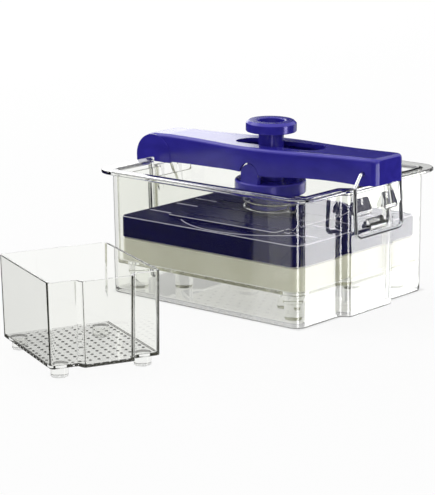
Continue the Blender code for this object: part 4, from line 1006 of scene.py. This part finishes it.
def soft_box(name, azimuth, half, low, high, radiance):
    """A lamp that fills azimuth +- half degrees and heights low to high, turned to the object."""
    width, height = 2 * LAMP_DISTANCE * np.tan(radians(half)), high - low
    data = bpy.data.lights.new(name, "AREA")
    data.shape = "RECTANGLE"
    data.size, data.size_y = width, height
    data.energy = radiance * pi * width * height
    made = add_object(name, data)
    made.location = heading(azimuth) * LAMP_DISTANCE + Vector((0, 0, (low + high) / 2))
    aim = Vector((0, 0, AIM_HEIGHT)) - made.location
    made.rotation_euler = aim.to_track_quat("-Z", "Y").to_euler()
    made.visible_camera = False
    made.visible_transmission = False
    return made


def glint(name, azimuth, half, low, high, radiance, colour=INDIGO_LIGHT):
    """A lamp that is only mirrored, also from below the floor."""
    made = soft_box(name, azimuth, half, low, high, radiance)
    made.data.color = colour
    made.visible_diffuse = False
    return made


def only_for(piece_names, *lamps):
    """Make lamps light the named pieces alone, and let nothing else stand before a glint."""
    lit = bpy.data.collections.new("lit_" + piece_names[0])
    for name in piece_names:
        lit.objects.link(bpy.data.objects[name])
    for lamp in lamps:
        lamp.light_linking.receiver_collection = lit
        if not lamp.visible_diffuse:
            lamp.light_linking.blocker_collection = lit


def dark_flag(name, start, end, low, high, unseen=()):
    """A dark cloth on an arc round the object, which only mirroring and clear surfaces see."""
    angle = np.linspace(start, end, int((end - start) / 3) + 1)
    foot = np.array([heading(a) * FLAG_DISTANCE for a in angle])
    rings = np.stack([foot + (0, 0, low), foot + (0, 0, high)])
    made = mesh_piece(name, rings.reshape(-1, 3), grid_faces(2, len(angle), wrap_columns=False))
    look, tree = new_material(name)
    cloth = add_node(tree, "BsdfDiffuse", {"Color": (0.03, 0.03, 0.035, 1)})["BSDF"]
    made.data.materials.append(finished(look, cloth))
    for ray in ("camera", "diffuse", "shadow", "volume_scatter", *unseen):
        setattr(made, "visible_" + ray, False)


floor = mesh_piece("floor", np.array([(-1, -1, 0), (1, -1, 0), (1, 1, 0), (-1, 1, 0)]) * FLOOR_HALF,
                   [(0, 1, 2, 3)])
floor.data.materials.append(floor_material())
floor.visible_glossy = False
soft_box("back_left_box", 235, 15, 0.05, 1.20, 2.4)
soft_box("high_left_box", 288, 22, 1.20, 2.60, 2.6)
soft_box("knob_strip", 108, 5, -0.80, 1.30, 3.0)
only_for(["tub_wall"], soft_box("wall_veil", 139, 14, -0.90, -0.02, 12.0),
         glint("near_veil", 330.2, 8.25, -0.80, -0.14, 1.2, WHITE),
         glint("corner_glint", 48, 10, -0.80, -0.14, 12.0, WHITE))
only_for(["lever_body"], soft_box("end_glow", 92, 32, -0.80, -0.10, 8.0),
         glint("cheek_glint", 27, 9, 1.70, 2.60, 24.0))
only_for(["knob_cap"], glint("knob_glint", 109, 8, -0.80, 0.30, 18.0))
only_for(["stem_piece", "presser_body"], glint("stem_glint", 49, 7, -0.80, 0.10, 5.0))
only_for(["presser_body"], glint("cup_glint", 163, 14, -0.80, 0.10, 2.2))
dark_flag("front_flag", 250, 520, -2.0, 0.6, ("transmission",))
dark_flag("low_back_flag", 190, 250, -2.0, 0.06, ("transmission",))
dark_flag("back_flag", 190, 250, 0.06, 1.0)
room_world()
bpy.context.scene.cycles.transparent_max_bounces = 64
bpy.context.scene.cycles.max_bounces = 32
bpy.context.scene.cycles.transmission_bounces = 32

back = Vector((sin(CAMERA_AZIMUTH) * cos(CAMERA_ELEVATION),
               -cos(CAMERA_AZIMUTH) * cos(CAMERA_ELEVATION), sin(CAMERA_ELEVATION)))
across = Vector((0, 0, 1)).cross(back).normalized()
upward = back.cross(across)
rolled_x = across * cos(CAMERA_ROLL) + upward * sin(CAMERA_ROLL)
rolled_y = upward * cos(CAMERA_ROLL) - across * sin(CAMERA_ROLL)
camera_data = bpy.data.cameras.new("camera")
camera_data.lens = CAMERA_LENS
camera_data.sensor_fit = "VERTICAL"
camera_data.sensor_height = CAMERA_SENSOR
camera_data.clip_start = CAMERA_NEAR
camera = add_object("camera", camera_data)
turn = Matrix((rolled_x, rolled_y, back)).transposed().to_4x4()
camera.matrix_world = Matrix.Translation(CAMERA_TARGET + back * CAMERA_DISTANCE) @ turn
bpy.context.scene.camera = camera
bpy.context.scene.view_settings.view_transform = "Standard"

bpy.context.view_layer.update()
